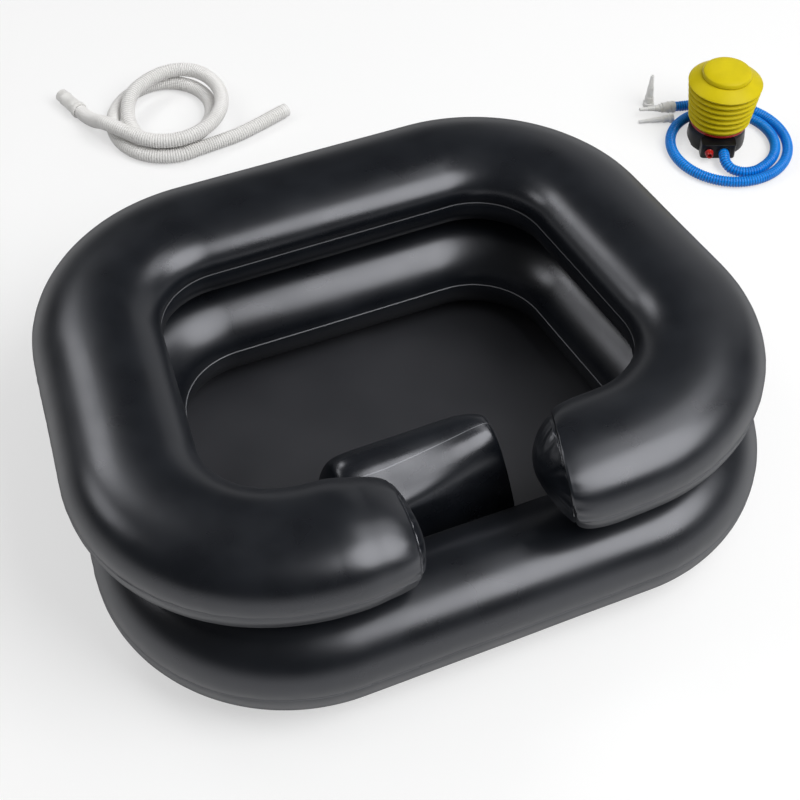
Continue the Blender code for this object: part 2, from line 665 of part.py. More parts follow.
def pump_base(stand, black):
    base = turned([
        (0, 0),
        (BASE_RADIUS, 0),
        (BASE_RADIUS, BASE_HEIGHT * 0.25),
        (BASE_TOP_RADIUS, BASE_HEIGHT * 0.75),
        (BASE_TOP_RADIUS, BASE_HEIGHT),
        (BASE_TOP_RADIUS - BASE_WALL, BASE_HEIGHT),
        (BASE_TOP_RADIUS - BASE_WALL, BASE_FLOOR_LEVEL),
        (0, BASE_FLOOR_LEVEL),
    ], WIDE_STEPS)
    base = finish("pump_base", base, black, parent=stand)
    low = (BLOCK_LEFT, BLOCK_FRONT, BLOCK_BOTTOM)
    block = box(low, (BLOCK_RIGHT, BLOCK_BACK, BLOCK_TOP))
    upright = [edge for edge in block.edges if abs(edge.verts[0].co.z - edge.verts[1].co.z) > BLOCK_BOTTOM]
    bmesh.ops.bevel(block, geom=upright, offset=BASE_WALL, segments=2, profile=0.5, affect="EDGES")
    boolean(base, finish("port_block", block, black, parent=stand), "UNION")
    cavity = BASE_TOP_RADIUS - BASE_WALL / 2
    low = (PORT_WALL_X - PORT_WALL / 2, -cavity, BASE_FLOOR_LEVEL - CUT_OVERRUN / 2)
    wall = box(low, (PORT_WALL_X + PORT_WALL / 2, cavity, BASE_HEIGHT - PORT_WALL))
    boolean(base, finish("port_wall", wall, black, parent=stand), "UNION")
    into = (math.pi / 2, 0, 0)
    reach = BLOCK_FRONT - BLOCK_BACK - BASE_WALL * 2
    for x, bore, name in (
        (PORT_LEFT_X, INTAKE_SPIGOT_RADIUS + SEAT_GAP, "intake_bore_cutter"),
        (PORT_HOSE_X, PUMP_HOSE_RADIUS + SEAT_GAP, "hose_bore_cutter"),
    ):
        tool = turned([(0, reach), (bore, reach), (bore, CUT_OVERRUN), (0, CUT_OVERRUN)])
        boolean(base, finish(name, tool, black, (x, BLOCK_FRONT, PORT_HEIGHT), into, stand))
    half = BASE_RADIUS * 0.42
    side = BASE_RADIUS + CUT_OVERRUN
    notch = box((-side, -half, -CUT_OVERRUN), (side, half, FOOT_NOTCH))
    boolean(base, finish("side_notch_cutter", notch, black, parent=stand))
    notch = box((-half, BASE_RADIUS * 0.3, -CUT_OVERRUN), (half, side, FOOT_NOTCH))
    boolean(base, finish("back_notch_cutter", notch, black, parent=stand))


def pump_valves(stand, red, soft):
    outline = [(0, 0), (PLATE_RADIUS, 0), (PLATE_RADIUS, PLATE_THICKNESS), (0, PLATE_THICKNESS)]
    plate = turned(outline, WIDE_STEPS)
    plate = finish("pump_valve_plate", plate, red, (0, 0, PLATE_BOTTOM), parent=stand)
    disc = [(0, 0), (PUMP_FLAP_RADIUS, 0), (PUMP_FLAP_RADIUS, FLAP_THICKNESS), (0, FLAP_THICKNESS)]
    for x, level, name in (
        (INLET_HOLE_X, PLATE_TOP + SEAT_GAP, "pump_inlet"),
        (OUTLET_HOLE_X, PLATE_BOTTOM - SEAT_GAP - FLAP_THICKNESS, "pump_outlet"),
    ):
        reach = PLATE_THICKNESS + CUT_OVERRUN
        hole = turned([(0, -reach), (PLATE_HOLE_RADIUS, -reach), (PLATE_HOLE_RADIUS, reach), (0, reach)])
        boolean(plate, finish(name + "_hole_cutter", hole, red, (x, PLATE_HOLE_Y, PLATE_TOP), parent=stand))
        flap = turned(disc)
        bmesh.ops.translate(flap, verts=flap.verts[:], vec=(0, -PUMP_FLAP_RADIUS, 0))
        finish(name + "_flap", flap, soft, (x, PLATE_HOLE_Y + PUMP_FLAP_RADIUS, level), parent=stand)
    intake = turned([
        (INTAKE_BORE, -INTAKE_SPIGOT),
        (INTAKE_SPIGOT_RADIUS, -INTAKE_SPIGOT),
        (INTAKE_SPIGOT_RADIUS, SEAT_GAP),
        (INTAKE_RADIUS, SEAT_GAP),
        (INTAKE_RADIUS, INTAKE_LENGTH * 0.75),
        (INTAKE_RADIUS * 0.8, INTAKE_LENGTH),
        (INTAKE_BORE, INTAKE_LENGTH),
    ])
    finish("pump_intake_port", intake, red, (PORT_LEFT_X, BLOCK_FRONT, PORT_HEIGHT), (math.pi / 2, 0, 0), stand)


def bellows_side(wall):
    """One side of the bellows from its foot to its top edge, wall metres inside the outer one."""
    points = [(BELLOWS_FOOT_RADIUS - wall, BELLOWS_BOTTOM)]
    for fold in range(BELLOWS_FOLDS):
        share = fold / (BELLOWS_FOLDS - 1)
        crest = BELLOWS_LOW_CREST + (BELLOWS_HIGH_CREST - BELLOWS_LOW_CREST) * share
        base = BELLOWS_BOTTOM + BELLOWS_FOLD_PITCH * fold
        points.append((crest - wall, base + BELLOWS_FOLD_PITCH * 0.36))
        points.append((crest - wall, base + BELLOWS_FOLD_PITCH * 0.64))
        if fold < BELLOWS_FOLDS - 1:
            points.append((crest - BELLOWS_FOLD_DEPTH - wall, base + BELLOWS_FOLD_PITCH))
    points.append((TREAD_RADIUS - wall, BELLOWS_TOP - wall))
    return points


def pump_bellows(stand, yellow):
    outer = bellows_side(0)
    inner = bellows_side(BELLOWS_WALL)
    profile = outer + [(0, BELLOWS_TOP), (0, BELLOWS_TOP - BELLOWS_WALL)] + inner[::-1]
    finish("pump_bellows", turned(profile, WIDE_STEPS), yellow, parent=stand)
    tread = turned([
        (0, SEAT_GAP),
        (TREAD_RADIUS, SEAT_GAP),
        (TREAD_RADIUS, TREAD_HEIGHT * 0.55),
        (TREAD_RADIUS * 0.93, TREAD_HEIGHT * 0.85),
        (TREAD_RADIUS * 0.6, TREAD_HEIGHT),
        (0, TREAD_HEIGHT),
    ], WIDE_STEPS)
    finish("pump_tread", tread, yellow, (0, 0, BELLOWS_TOP), parent=stand)


def pump_loop():
    """One and a half turns of the pump's hose, spiralling out round the base."""
    points = []
    first, last = math.radians(-62), math.radians(446)
    steps = 34
    for step in range(steps):
        angle = first + (last - first) * step / (steps - 1)
        radius = LOOP_START + LOOP_GROWTH * angle / math.tau
        points.append((
            LOOP_CENTRE_X + radius * math.cos(angle),
            LOOP_CENTRE_Y + radius * math.sin(angle),
            PUMP_HOSE_RADIUS + SEAT_GAP,
        ))
    return points


def nozzle(name, length, radius, foot, material, place, turn, parent):
    """A hollow cone with a collar; foot is the length of its spigot behind the collar."""
    spigot = CONNECTOR_BORE - SEAT_GAP
    collar = length * 0.12
    back = [(NOZZLE_BORE, -foot), (spigot, -foot), (spigot, 0)] if foot else [(NOZZLE_BORE, 0)]
    profile = back + [
        (radius, 0),
        (radius, collar),
        (radius * 0.8, collar),
        (radius * 0.62, length * 0.40),
        (NOZZLE_TIP_RADIUS, length),
        (NOZZLE_BORE, length),
    ]
    return finish(name, turned(profile), material, place, turn, parent)


def pump_hose(stand, blue, white):
    start = (PORT_HOSE_X, BLOCK_FRONT + BASE_WALL, PORT_HEIGHT)
    level = (PORT_HOSE_X, BLOCK_FRONT - PUMP_HOSE_RADIUS, PORT_HEIGHT)
    points = [start, level] + PUMP_HOSE_OUT + pump_loop()[1:] + PUMP_HOSE_END
    route, _ = ribbed_hose(
        "pump_hose", points, PUMP_HOSE_RADIUS, PUMP_HOSE_BORE, PUMP_RIB_DEPTH, PUMP_RIBS, blue, stand
    )
    end = route[-1]
    ahead = (end - route[-2]).normalized()
    turn = facing(route[-2], end)
    connector = turned([
        (CONNECTOR_SPIGOT_BORE, -CONNECTOR_SPIGOT),
        (CONNECTOR_SPIGOT_RADIUS, -CONNECTOR_SPIGOT),
        (CONNECTOR_SPIGOT_RADIUS, SEAT_GAP),
        (CONNECTOR_RADIUS, SEAT_GAP),
        (CONNECTOR_RADIUS, CONNECTOR_LENGTH * 0.5),
        (CONNECTOR_RADIUS * 0.86, CONNECTOR_LENGTH * 0.62),
        (CONNECTOR_RADIUS * 0.86, CONNECTOR_LENGTH),
        (CONNECTOR_BORE, CONNECTOR_LENGTH),
        (CONNECTOR_BORE, CONNECTOR_LENGTH * 0.3),
        (CONNECTOR_SPIGOT_BORE, CONNECTOR_LENGTH * 0.2),
    ])
    finish("pump_hose_connector", connector, white, end, turn, stand)
    seat = end + ahead * (CONNECTOR_LENGTH + SEAT_GAP)
    nozzle("nozzle_small", NOZZLE_SMALL_LENGTH, NOZZLE_SMALL_RADIUS, NOZZLE_SPIGOT, white, seat, turn, stand)
    taper = math.atan2(NOZZLE_MEDIUM_RADIUS - NOZZLE_TIP_RADIUS, NOZZLE_MEDIUM_LENGTH)
    lying = (0, -math.pi / 2 - taper, math.radians(4))
    place = (NOZZLE_MEDIUM_X, NOZZLE_MEDIUM_Y, NOZZLE_MEDIUM_RADIUS + SEAT_GAP)
    nozzle("nozzle_medium", NOZZLE_MEDIUM_LENGTH, NOZZLE_MEDIUM_RADIUS, 0, white, place, lying, stand)
    place = (NOZZLE_LARGE_X, NOZZLE_LARGE_Y, 0)
    nozzle("nozzle_large", NOZZLE_LARGE_LENGTH, NOZZLE_LARGE_RADIUS, 0, white, place, (0, 0, 0), stand)


def main():
    clear_scene()
    film = plastic("black_film", (0.012, 0.013, 0.016), 0.3)
    clear = plastic("clear_vinyl", (0.62, 0.64, 0.66), 0.35)
    soft = plastic("black_rubber", (0.02, 0.02, 0.02), 0.6)
    white = plastic("white_plastic", (0.82, 0.81, 0.78), 0.4)
    yellow = plastic("yellow_plastic", (0.86, 0.68, 0.03), 0.45)
    black = plastic("black_plastic", (0.015, 0.015, 0.016), 0.35)
    red = plastic("red_plastic", (0.45, 0.03, 0.02), 0.4)
    blue = plastic("blue_plastic", (0.01, 0.16, 0.62), 0.4)

    lower = lower_ring(film)
    upper = upper_ring(film)
    end_cap("upper_right_end_cap", 1, film)
    end_cap("upper_left_end_cap", -1, film)
    floor_sheet(film)
    cushion, cushion_back = pillow(film)
    air_valve("upper_valve", upper, UPPER_VALVE_X, UPPER_BACK, UPPER_MIDDLE, soft, clear)
    air_valve("lower_valve", lower, LOWER_VALVE_X, LOWER_BACK, LOWER_MIDDLE, soft, clear)
    pillow_middle = PILLOW_LEFT + PILLOW_WIDTH / 2
    air_valve("pillow_valve", cushion, pillow_middle, cushion_back, PILLOW_VALVE_HEIGHT, soft, clear)
    drain(clear, soft)
    drain_hose(white)

    stand = empty("pump_stand", (PUMP_X, PUMP_Y, 0), SCREEN_TURN)
    pump_base(stand, black)
    pump_valves(stand, red, soft)
    pump_bellows(stand, yellow)
    pump_hose(stand, blue, white)


main()
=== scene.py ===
"""Dresses the portable shampoo basin: glossy film chambers, ribbed hoses and a foot pump.

Metres, +Z up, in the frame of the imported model: the neck side at -Y, the origin under the floor sheet.
"""
import math

import bmesh
import bpy
from mathutils import Matrix, Vector, noise


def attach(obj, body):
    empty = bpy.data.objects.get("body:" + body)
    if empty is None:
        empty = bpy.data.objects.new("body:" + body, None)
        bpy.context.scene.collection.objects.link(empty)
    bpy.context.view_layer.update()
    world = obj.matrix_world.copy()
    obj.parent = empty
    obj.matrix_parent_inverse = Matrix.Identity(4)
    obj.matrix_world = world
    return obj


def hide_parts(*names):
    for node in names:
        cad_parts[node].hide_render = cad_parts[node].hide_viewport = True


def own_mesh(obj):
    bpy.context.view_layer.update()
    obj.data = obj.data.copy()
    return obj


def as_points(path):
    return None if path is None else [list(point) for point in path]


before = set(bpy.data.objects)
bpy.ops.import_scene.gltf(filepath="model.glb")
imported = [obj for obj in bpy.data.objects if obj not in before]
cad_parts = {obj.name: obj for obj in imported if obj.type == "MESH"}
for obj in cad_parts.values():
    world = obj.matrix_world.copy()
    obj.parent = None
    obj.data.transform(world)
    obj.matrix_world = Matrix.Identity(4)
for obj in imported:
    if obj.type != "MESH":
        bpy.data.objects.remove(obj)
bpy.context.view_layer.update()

# The photograph's camera
CAMERA_TARGET = Vector((0, 0, 0.11))
CAMERA_DISTANCE = 1.4197
CAMERA_AZIMUTH = math.radians(-23.0992)
CAMERA_ELEVATION = math.radians(48.0167)
FRAME_PIXELS = 800
FOCAL_PIXELS = 1525.71
PRINCIPAL_PIXELS = (399.77, 378.66)
SENSOR_MM = 36

# The basin's outline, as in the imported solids
FRONT_HALF_WIDTH = 0.340
BACK_HALF_WIDTH = 0.3004
UPPER_FRONT = 0.2334
UPPER_BACK = 0.2847
UPPER_FRONT_CORNER = 0.186
UPPER_BACK_CORNER = 0.188
LOWER_INSET = 0.009
LOWER_FRONT = 0.2571
LOWER_BACK = 0.2617
LOWER_FRONT_CORNER = 0.180
LOWER_BACK_CORNER = 0.190
UPPER_HALF_WIDTH = 0.0608
UPPER_HALF_HEIGHT = 0.0420
LOWER_HALF_WIDTH = 0.0589
LOWER_HALF_HEIGHT = 0.0489
SECTION_POWER = 2.25
LOWER_MIDDLE = 0.0497
UPPER_MIDDLE = 0.1409
FILM = 0.0005
SEAT_GAP = 0.0003
FLOOR_LAP = 0.010

# The film's weld seams and the puckers beside them
ARC_STEPS = 60
BEND_SPREAD = 0.03
STATION_SPACING = 0.0026
CHAMBER_ROWS = 88
SEAM_CROWDING = 0.86
UPPER_SEAM_PINCH = 0.0033
LOWER_SEAM_PINCH = 0.0017
UPPER_SEAM_LIFT = 0.0030
LOWER_SEAM_LIFT = 0.0014
OUTER_SEAM_PINCH = 0.0009
INNER_PINCH_REACH = 0.0085
OUTER_PINCH_REACH = 0.0040
BEAD_HEIGHT = 0.0007
BEAD_HALF_WIDTH = 0.0009
PUCKER_REACH = 0.014
PUCKER_PITCH = 0.0085
STRAIGHT_PUCKER = 0.00008
CORNER_PUCKER = 0.00022
INNER_PUCKER_SHARE = 0.3
NECK_DIP = 0.16
NECK_DIP_REACH = 0.155
NECK_DIP_FADE = 0.07
SWELL = 0.0004
SWELL_LENGTH = 0.09
LOWER_SEED = 3
UPPER_SEED = 8

# The upper ring's two ends: the seam lies across the tube on a slant, and the panel bulges from it
RIGHT_END = {
    "seam": 0.0758, "slant": -0.0149, "rake": -0.0069, "share": 0.8435, "rise": 0.0053,
    "lean": 0.0065, "lean_reach": 0.143, "reach": 0.0528, "taper": 3.0, "roll": 0.79,
    "apex": 0.0521, "fullness": 1.93,
}
LEFT_END = {
    "seam": 0.0750, "slant": 0.0022, "rake": -0.0027, "share": 0.793, "rise": -0.0065,
    "lean": 0.0055, "lean_reach": 0.110, "reach": 0.0655, "taper": 1.56, "roll": 1.15,
    "apex": 0.0605, "fullness": 1.93,
}
END_START = 0.5
END_DENSITY = 3
END_SEAM_FADE = 3
END_FLUSH_SHARE = 0.27
END_FLUSH_POWER = 1.5
PANEL_CUT_SHARE = 0.89
END_CREVICE = 0.0012
END_CREVICE_REACH = 0.04
END_PUCKER = 0.0014
END_PUCKER_SHARE = 0.10
END_PUCKERS = 6.5
PANEL_BACK_COLUMNS = 6
PANEL_COLUMNS = 60
PANEL_ROWS = 132

# The floor sheet's low waves, each as its pace to the right and away, its level in the noise and its share
FLOOR_COLUMNS = 72
FLOOR_CROWDING = 1.4
FLOOR_WAVES = [(7, 11, 5, 1), (19, 15, 9, 0.5)]
FLOOR_WAVE_LIFT = 0.3
FLOOR_WAVE_HEIGHT = 0.0011
FLOOR_DRAIN_FLAT = 0.06
FLOOR_RIM_FLAT = 0.10

# The neck pillow
PILLOW_LEFT = -0.112
PILLOW_WIDTH = 0.161
PILLOW_FRONT = -0.1387
PILLOW_DEPTH = 0.0880
PILLOW_BOTTOM = 0.0008
PILLOW_HEIGHT = 0.1375
PILLOW_CREST = -0.1000
PILLOW_END_SLANT = 0.0180
PILLOW_SLANT_LEVEL = 0.76
PILLOW_END_BULGE = 0.0012
PILLOW_SEAM_ROW = 0.575
PILLOW_TURN_FROM = 0.32
PILLOW_TURN = 0.68
PILLOW_TURN_POWER = 1.15
PILLOW_BACK_PACE = 1.4
PILLOW_SLANT_FROM = 0.4
PILLOW_SWELL = 0.0005
PILLOW_SWELLS = 22
PILLOW_SWELL_PACE = 4
PILLOW_HEART = 0.45
PILLOW_COLUMNS = 140
PILLOW_ROWS = 120
PILLOW_CLOSING = 8
# Sections of its two ends, away and up, from the front edge over the crest to the back
PILLOW_LEFT_PROFILE = [
    (-0.1375, 0), (-0.1386, 0.022), (-0.1387, 0.050), (-0.1388, 0.078), (-0.1390, 0.0940), (-0.1384, 0.1030),
    (-0.1345, 0.1088), (-0.1265, 0.1140), (-0.1175, 0.1200), (-0.1085, 0.1262), (-0.1000, 0.1305),
    (-0.0895, 0.1320), (-0.0790, 0.1288), (-0.0690, 0.1185), (-0.0590, 0.0960), (-0.0520, 0.055), (-0.0520, 0),
]
PILLOW_RIGHT_PROFILE = [
    (-0.1375, 0), (-0.1383, 0.022), (-0.1376, 0.045), (-0.1352, 0.064), (-0.1310, 0.0830), (-0.1262, 0.1010),
    (-0.1212, 0.1150), (-0.1148, 0.1262), (-0.1062, 0.1330), (-0.0985, 0.1347), (-0.0935, 0.1348),
    (-0.0875, 0.1340), (-0.0780, 0.1298), (-0.0690, 0.1195), (-0.0590, 0.0960), (-0.0520, 0.055), (-0.0520, 0),
]
# Along it: the share of its width, and what is left there of its height and of its depth behind the crest
PILLOW_STATIONS = [
    (0, 0.45, 0.55), (0.008, 0.66, 0.72), (0.025, 0.82, 0.86), (0.055, 0.925, 0.95), (0.10, 0.975, 0.99),
    (0.18, 0.995, 1), (0.35, 1, 1), (0.50, 1, 1), (0.65, 1, 1), (0.78, 1, 1), (0.87, 1, 0.96),
    (0.93, 0.995, 0.86), (0.97, 0.985, 0.70), (0.99, 0.970, 0.55), (1, 0.945, 0.42),
]

# Turns that lay Z along +Y and along -Y
FACING_BACK = Matrix.Rotation(-math.pi / 2, 4, "X")
FACING_FRONT = Matrix.Rotation(math.pi / 2, 4, "X")

# Air valves
VALVE_STEPS = 56
VALVE_STEM_RADIUS = 0.0046
VALVE_BORE_RADIUS = 0.0032
VALVE_SKIRT_RADIUS = 0.0095
VALVE_SKIRT = 0.0008
VALVE_REACH_OUT = 0.0070
VALVE_REACH_IN = 0.0140
VALVE_POCKET_RADIUS = 0.0062
VALVE_POCKET_ROOM = 0.0090
PLUG_SHANK = 0.0060
PLUG_CAP_RADIUS = 0.0056
PLUG_CAP = 0.0016
STRAP_WIDTH = 0.0030
STRAP_THICKNESS = 0.0010
UPPER_VALVE = Vector((-0.100, UPPER_BACK, UPPER_MIDDLE))
LOWER_VALVE = Vector((0.090, LOWER_BACK, LOWER_MIDDLE))
PILLOW_VALVE = Vector((-0.0315, -0.0507, 0.045))

# The drain
DRAIN = Vector((-0.165, -0.072, 0))
DRAIN_BORE_RADIUS = 0.0094
DRAIN_HUB_RADIUS = 0.0122
DRAIN_HUB_HEIGHT = 0.0090
DRAIN_FLANGE_RADIUS = 0.0240
DRAIN_FLANGE = 0.0012
DRAIN_SHANK = 0.0042
DRAIN_CAP_RADIUS = 0.0135
DRAIN_CAP = 0.0018
DRAIN_TAB_HEIGHT = 0.0090

# The drain hose, and what both hoses share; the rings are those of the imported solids
ROUTE_PIECES = 12
FIRST_POINTS = 200
RIB_STEPS = 6
RIB_SHARPNESS = 2.2
BORE_STRIDE = 18
PLAIN_END = 0.8
DRAIN_HOSE_RINGS = 181
PUMP_HOSE_RINGS = 145
SCREEN_TURN = math.radians(-23.1)
DRAIN_COIL = Vector((-0.0520, 0.5860, 0))
DRAIN_HOSE_RADIUS = 0.0086
DRAIN_HOSE_BORE = 0.0068
DRAIN_RIB_DEPTH = 0.0010
DRAIN_RIB_PITCH = 0.0029
COIL_OUTER = 0.0700
COIL_TOP = 0.0640
COIL_INNER = 0.0490
COIL_DEPTH_STRETCH = 1.10
COIL_LAYER_GAP = 0.0009
COIL_POINTS = 44
# In degrees round the coil: start, shrink from, shrunk and drop from, landed, spread from, widest, leave
COIL_TURNS = (240, 420, 500, 600, 680, 968, 1026)
CUFF_RADIUS = 0.0088
CUFF_BORE = 0.0072
CUFF_LENGTH = 0.034
CUFF_SPIGOT = 0.0090
CUFF_SPIGOT_RADIUS = 0.0058
CUFF_SPIGOT_BORE = 0.0047
COLLAR_RADIUS = 0.0101
COLLAR_LENGTH = 0.0060

# The foot pump; its slots' angles are in degrees
PUMP = Vector((0.539, 0.301, 0))
BASE_RADIUS = 0.0340
BASE_TOP_RADIUS = 0.0325
BASE_HEIGHT = 0.0250
BASE_WALL = 0.0040
BASE_FLOOR_LEVEL = 0.0065
FOOT_NOTCH = 0.0038
FOOT_ARCH = 0.42
SLOT_HALF_WIDTH = 0.0012
SLOT_ANGLES = (20, 67, 114, 161)
BOSS_RIM = 0.0012
BOSS_SHARE = 1.35
BLOCK_LEFT = -0.0240
BLOCK_RIGHT = 0.0165
BLOCK_FRONT = -0.0430
BLOCK_BACK = -0.0262
BLOCK_BOTTOM = 0.0030
BLOCK_TOP = 0.0225
PORT_HEIGHT = 0.0125
PORT_LEFT_X = -0.0150
PORT_HOSE_X = 0.0020
PLATE_RADIUS = 0.0335
PLATE_BOTTOM = 0.0253
PLATE_THICKNESS = 0.0024
PLATE_HOLE_RADIUS = 0.0045
PLATE_HOLE_Y = 0.006
INLET_HOLE_X = -0.0165
OUTLET_HOLE_X = 0.0110
INTAKE_RADIUS = 0.0050
INTAKE_BORE = 0.0026
INTAKE_LENGTH = 0.0075
INTAKE_SPIGOT_RADIUS = 0.0038
INTAKE_SPIGOT = 0.0110
BELLOWS_BOTTOM = 0.0280
BELLOWS_FOLDS = 7
BELLOWS_FOOT_RADIUS = 0.0330
BELLOWS_LOW_CREST = 0.0365
BELLOWS_HIGH_CREST = 0.0430
BELLOWS_FOLD_DEPTH = 0.0048
BELLOWS_FOLD_PITCH = 0.0081
BELLOWS_SKEW = 1.6
BELLOWS_ROUNDNESS = 0.62
FOLD_STEPS = 14
SHOULDER_STEPS = 12
SHOULDER_STRAIGHT = 0.30
SHOULDER_ROUND = 0.70
SHOULDER_POWER = 0.8
BELLOWS_WALL = 0.0011
BELLOWS_SHOULDER = 0.0062
BELLOWS_TOP = BELLOWS_BOTTOM + BELLOWS_FOLDS * BELLOWS_FOLD_PITCH + BELLOWS_SHOULDER
TREAD_RADIUS = 0.0285
TREAD_HEIGHT = 0.0080

# The pump's hose, its loop from and to an angle in degrees, and its nozzles
PUMP_HOSE_RADIUS = 0.0062
PUMP_HOSE_BORE = 0.0044
PUMP_RIB_DEPTH = 0.0008
PUMP_RIB_PITCH = 0.0031
LOOP_CENTRE_X = 0.0090
LOOP_CENTRE_Y = -0.0200
LOOP_START = 0.0582
LOOP_GROWTH = 0.0146
LOOP_TURNS = (-62, 446)
LOOP_POINTS = 34
CONNECTOR_RADIUS = 0.0072
CONNECTOR_BORE = 0.0040
CONNECTOR_LENGTH = 0.0165
CONNECTOR_SPIGOT = 0.0100
CONNECTOR_SPIGOT_RADIUS = 0.0036
CONNECTOR_SPIGOT_BORE = 0.0024
NOZZLE_BORE = 0.0012
NOZZLE_TIP_RADIUS = 0.0021
NOZZLE_SPIGOT = 0.0090
NOZZLE_SMALL_LENGTH = 0.0280
NOZZLE_SMALL_RADIUS = 0.0050
NOZZLE_MEDIUM_LENGTH = 0.0420
NOZZLE_MEDIUM_RADIUS = 0.0056
NOZZLE_MEDIUM_PLACE = (-0.0470, 0.0290)
NOZZLE_MEDIUM_TURN = math.radians(4)
NOZZLE_LARGE_LENGTH = 0.0450
NOZZLE_LARGE_RADIUS = 0.0068
NOZZLE_LARGE_PLACE = (-0.0735, 0.0610)

# The hoses' own points, from the middle of the coil or of the pump: right, away, up
CUFF_END = (-0.1130, 0.0110, 0.0104)
TAIL_IN = [
    (-0.0995, -0.0042, 0.0104),
    (-0.0865, -0.0188, 0.0155),
    (-0.0690, -0.0375, 0.0262),
]
TAIL_OUT = [
    (0.0800, -0.0400, 0.0088),
    (0.1020, -0.0230, 0.0088),
    (0.1230, -0.0045, 0.0088),
    (0.1400, 0.0110, 0.0088),
]
PUMP_HOSE_OUT = [
    (0.0026, -0.0580, 0.0106),
    (0.0085, -0.0672, 0.0080),
    (0.0215, -0.0720, 0.0066),
    (0.0360, -0.0694, 0.0065),
]
PUMP_HOSE_END = [
    (-0.0120, 0.0560, 0.0064),
    (-0.0290, 0.0525, 0.0064),
    (-0.0440, 0.0490, 0.0075),
]

WELD = 0.00001
FINE_STEPS = 72

# Looks: the film's gloss at its rims, the soft edges of the painted highlights on the seams, and the painted shade
# in the grooves of the hoses
RIM_DULLING = 0.60
RIM_POWER = 4
SEAM_EDGE = 0.3
GROOVE_EDGE = 0.22
# Colours of the painted highlights along the weld seams
OUTER_SEAM_HIGHLIGHT = (0.075, 0.078, 0.085)
INNER_SEAM_HIGHLIGHT = (0.20, 0.205, 0.22)
PILLOW_SEAM_HIGHLIGHT = (0.13, 0.135, 0.145)
# Colours of the painted shade in the hoses' grooves
WHITE_GROOVE_SHADE = (0.70, 0.69, 0.67)
BLUE_GROOVE_SHADE = (0.001, 0.060, 0.28)

# The finishes, as finish_of takes them
GLOSSY_FILM = dict(
    slot="black_film", dark=(0.0052, 0.0064, 0.0090), light=(0.0082, 0.0100, 0.0136),
    grain=1500, bump=0.05, height=0.0001, IOR=1.70, Specular_Tint=(0.93, 0.94, 1.0, 1),
)
FINISHES = {
    "black_film": dict(GLOSSY_FILM, rough=(0.26, 0.32), mottle=22),
    "panel_film": dict(GLOSSY_FILM, rough=(0.24, 0.30), mottle=30),
    "pillow_skin": dict(GLOSSY_FILM, rough=(0.24, 0.30), mottle=30),
    "floor_sheet_film": dict(
        slot="black_film", dark=(0.027, 0.028, 0.033), light=(0.037, 0.038, 0.044), rough=(0.46, 0.58),
        grain=1800, mottle=9, bump=0.25, height=0.0001,
    ),
    "clear_vinyl": dict(
        slot="clear_vinyl", dark=(0.66, 0.69, 0.71), light=(0.78, 0.80, 0.81), rough=(0.22, 0.34),
        grain=700, mottle=60, Transmission_Weight=0.55, IOR=1.52,
    ),
    "black_rubber": dict(
        slot="black_rubber", dark=(0.014, 0.014, 0.014), light=(0.028, 0.028, 0.028), rough=(0.5, 0.7),
        grain=1600, mottle=80, bump=0.4,
    ),
    "hose_white": dict(
        slot="white_plastic", dark=(0.87, 0.86, 0.84), light=(0.92, 0.91, 0.90), rough=(0.32, 0.44), mottle=30,
    ),
    "cuff_white": dict(
        slot="white_plastic", dark=(0.84, 0.83, 0.80), light=(0.90, 0.89, 0.87), rough=(0.28, 0.40),
        grain=700, mottle=50,
    ),
    "nozzle_white": dict(
        slot="white_plastic", dark=(0.87, 0.87, 0.86), light=(0.92, 0.92, 0.91), rough=(0.25, 0.36),
        grain=700, mottle=60,
    ),
    "bellows_yellow": dict(
        slot="yellow_plastic", dark=(0.61, 0.49, 0.002), light=(0.69, 0.56, 0.004), rough=(0.40, 0.54),
        grain=1100, mottle=40, bump=0.15, Specular_IOR_Level=0.18,
    ),
    "pump_black": dict(
        slot="black_plastic", dark=(0.004, 0.004, 0.005), light=(0.009, 0.009, 0.010), rough=(0.26, 0.40),
        grain=1000, mottle=70, bump=0.2, Specular_IOR_Level=0.20,
    ),
    "pump_red": dict(
        slot="red_plastic", dark=(0.42, 0.012, 0.010), light=(0.55, 0.020, 0.014), rough=(0.26, 0.38), mottle=70,
    ),
    "hose_blue": dict(
        slot="blue_plastic", dark=(0.001, 0.21, 0.76), light=(0.002, 0.28, 0.88), rough=(0.24, 0.36), mottle=40,
        Specular_IOR_Level=0.35,
    ),
}

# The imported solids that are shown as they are, all of rubber
FLAPS = ("upper_valve_flap", "lower_valve_flap", "pillow_valve_flap", "pump_inlet_flap", "pump_outlet_flap")

# The studio: lamps as name, azimuth from +X, elevation, size, radiance
LAMP_TARGET = Vector((0, 0, 0.10))
LAMP_DISTANCE = 2.4
LAMPS = [
    ("front_box", 316, 51, (1.85, 1.90), 5.3),
    ("side_fill", 8, 57, (1.15, 0.95), 2.6),
    ("back_box", 117, 45, (0.92, 0.72), 4.4),
    ("left_fill", 150, 39, (0.85, 0.65), 3.2),
    ("low_fill", 36, 24, (2.00, 1.20), 0.40),
]
AMBIENT = 0.26
HORIZON = 0.62
CEILING = 0.05
CEILING_FROM = 0.0
CEILING_TO = 0.36
FLOOR_REACH = 40
FLOOR_TONE = 0.44
FLOOR_GLOW = 0.54


def eased(share):
    share = min(max(share, 0), 1)
    return share * share * (3 - 2 * share)


def camera():
    made = bpy.data.objects.new("camera", bpy.data.cameras.new("camera"))
    bpy.context.scene.collection.objects.link(made)
    turn = Matrix.Rotation(CAMERA_AZIMUTH, 4, "Z") @ Matrix.Rotation(math.pi / 2 - CAMERA_ELEVATION, 4, "X")
    made.matrix_world = Matrix.Translation(CAMERA_TARGET) @ turn @ Matrix.Translation((0, 0, CAMERA_DISTANCE))
    made.data.sensor_width = SENSOR_MM
    made.data.lens = FOCAL_PIXELS / FRAME_PIXELS * SENSOR_MM
    made.data.shift_x = 0.5 - PRINCIPAL_PIXELS[0] / FRAME_PIXELS
    made.data.shift_y = PRINCIPAL_PIXELS[1] / FRAME_PIXELS - 0.5
    made.data.clip_start = 0.05
    bpy.context.scene.camera = made


# Shape helpers

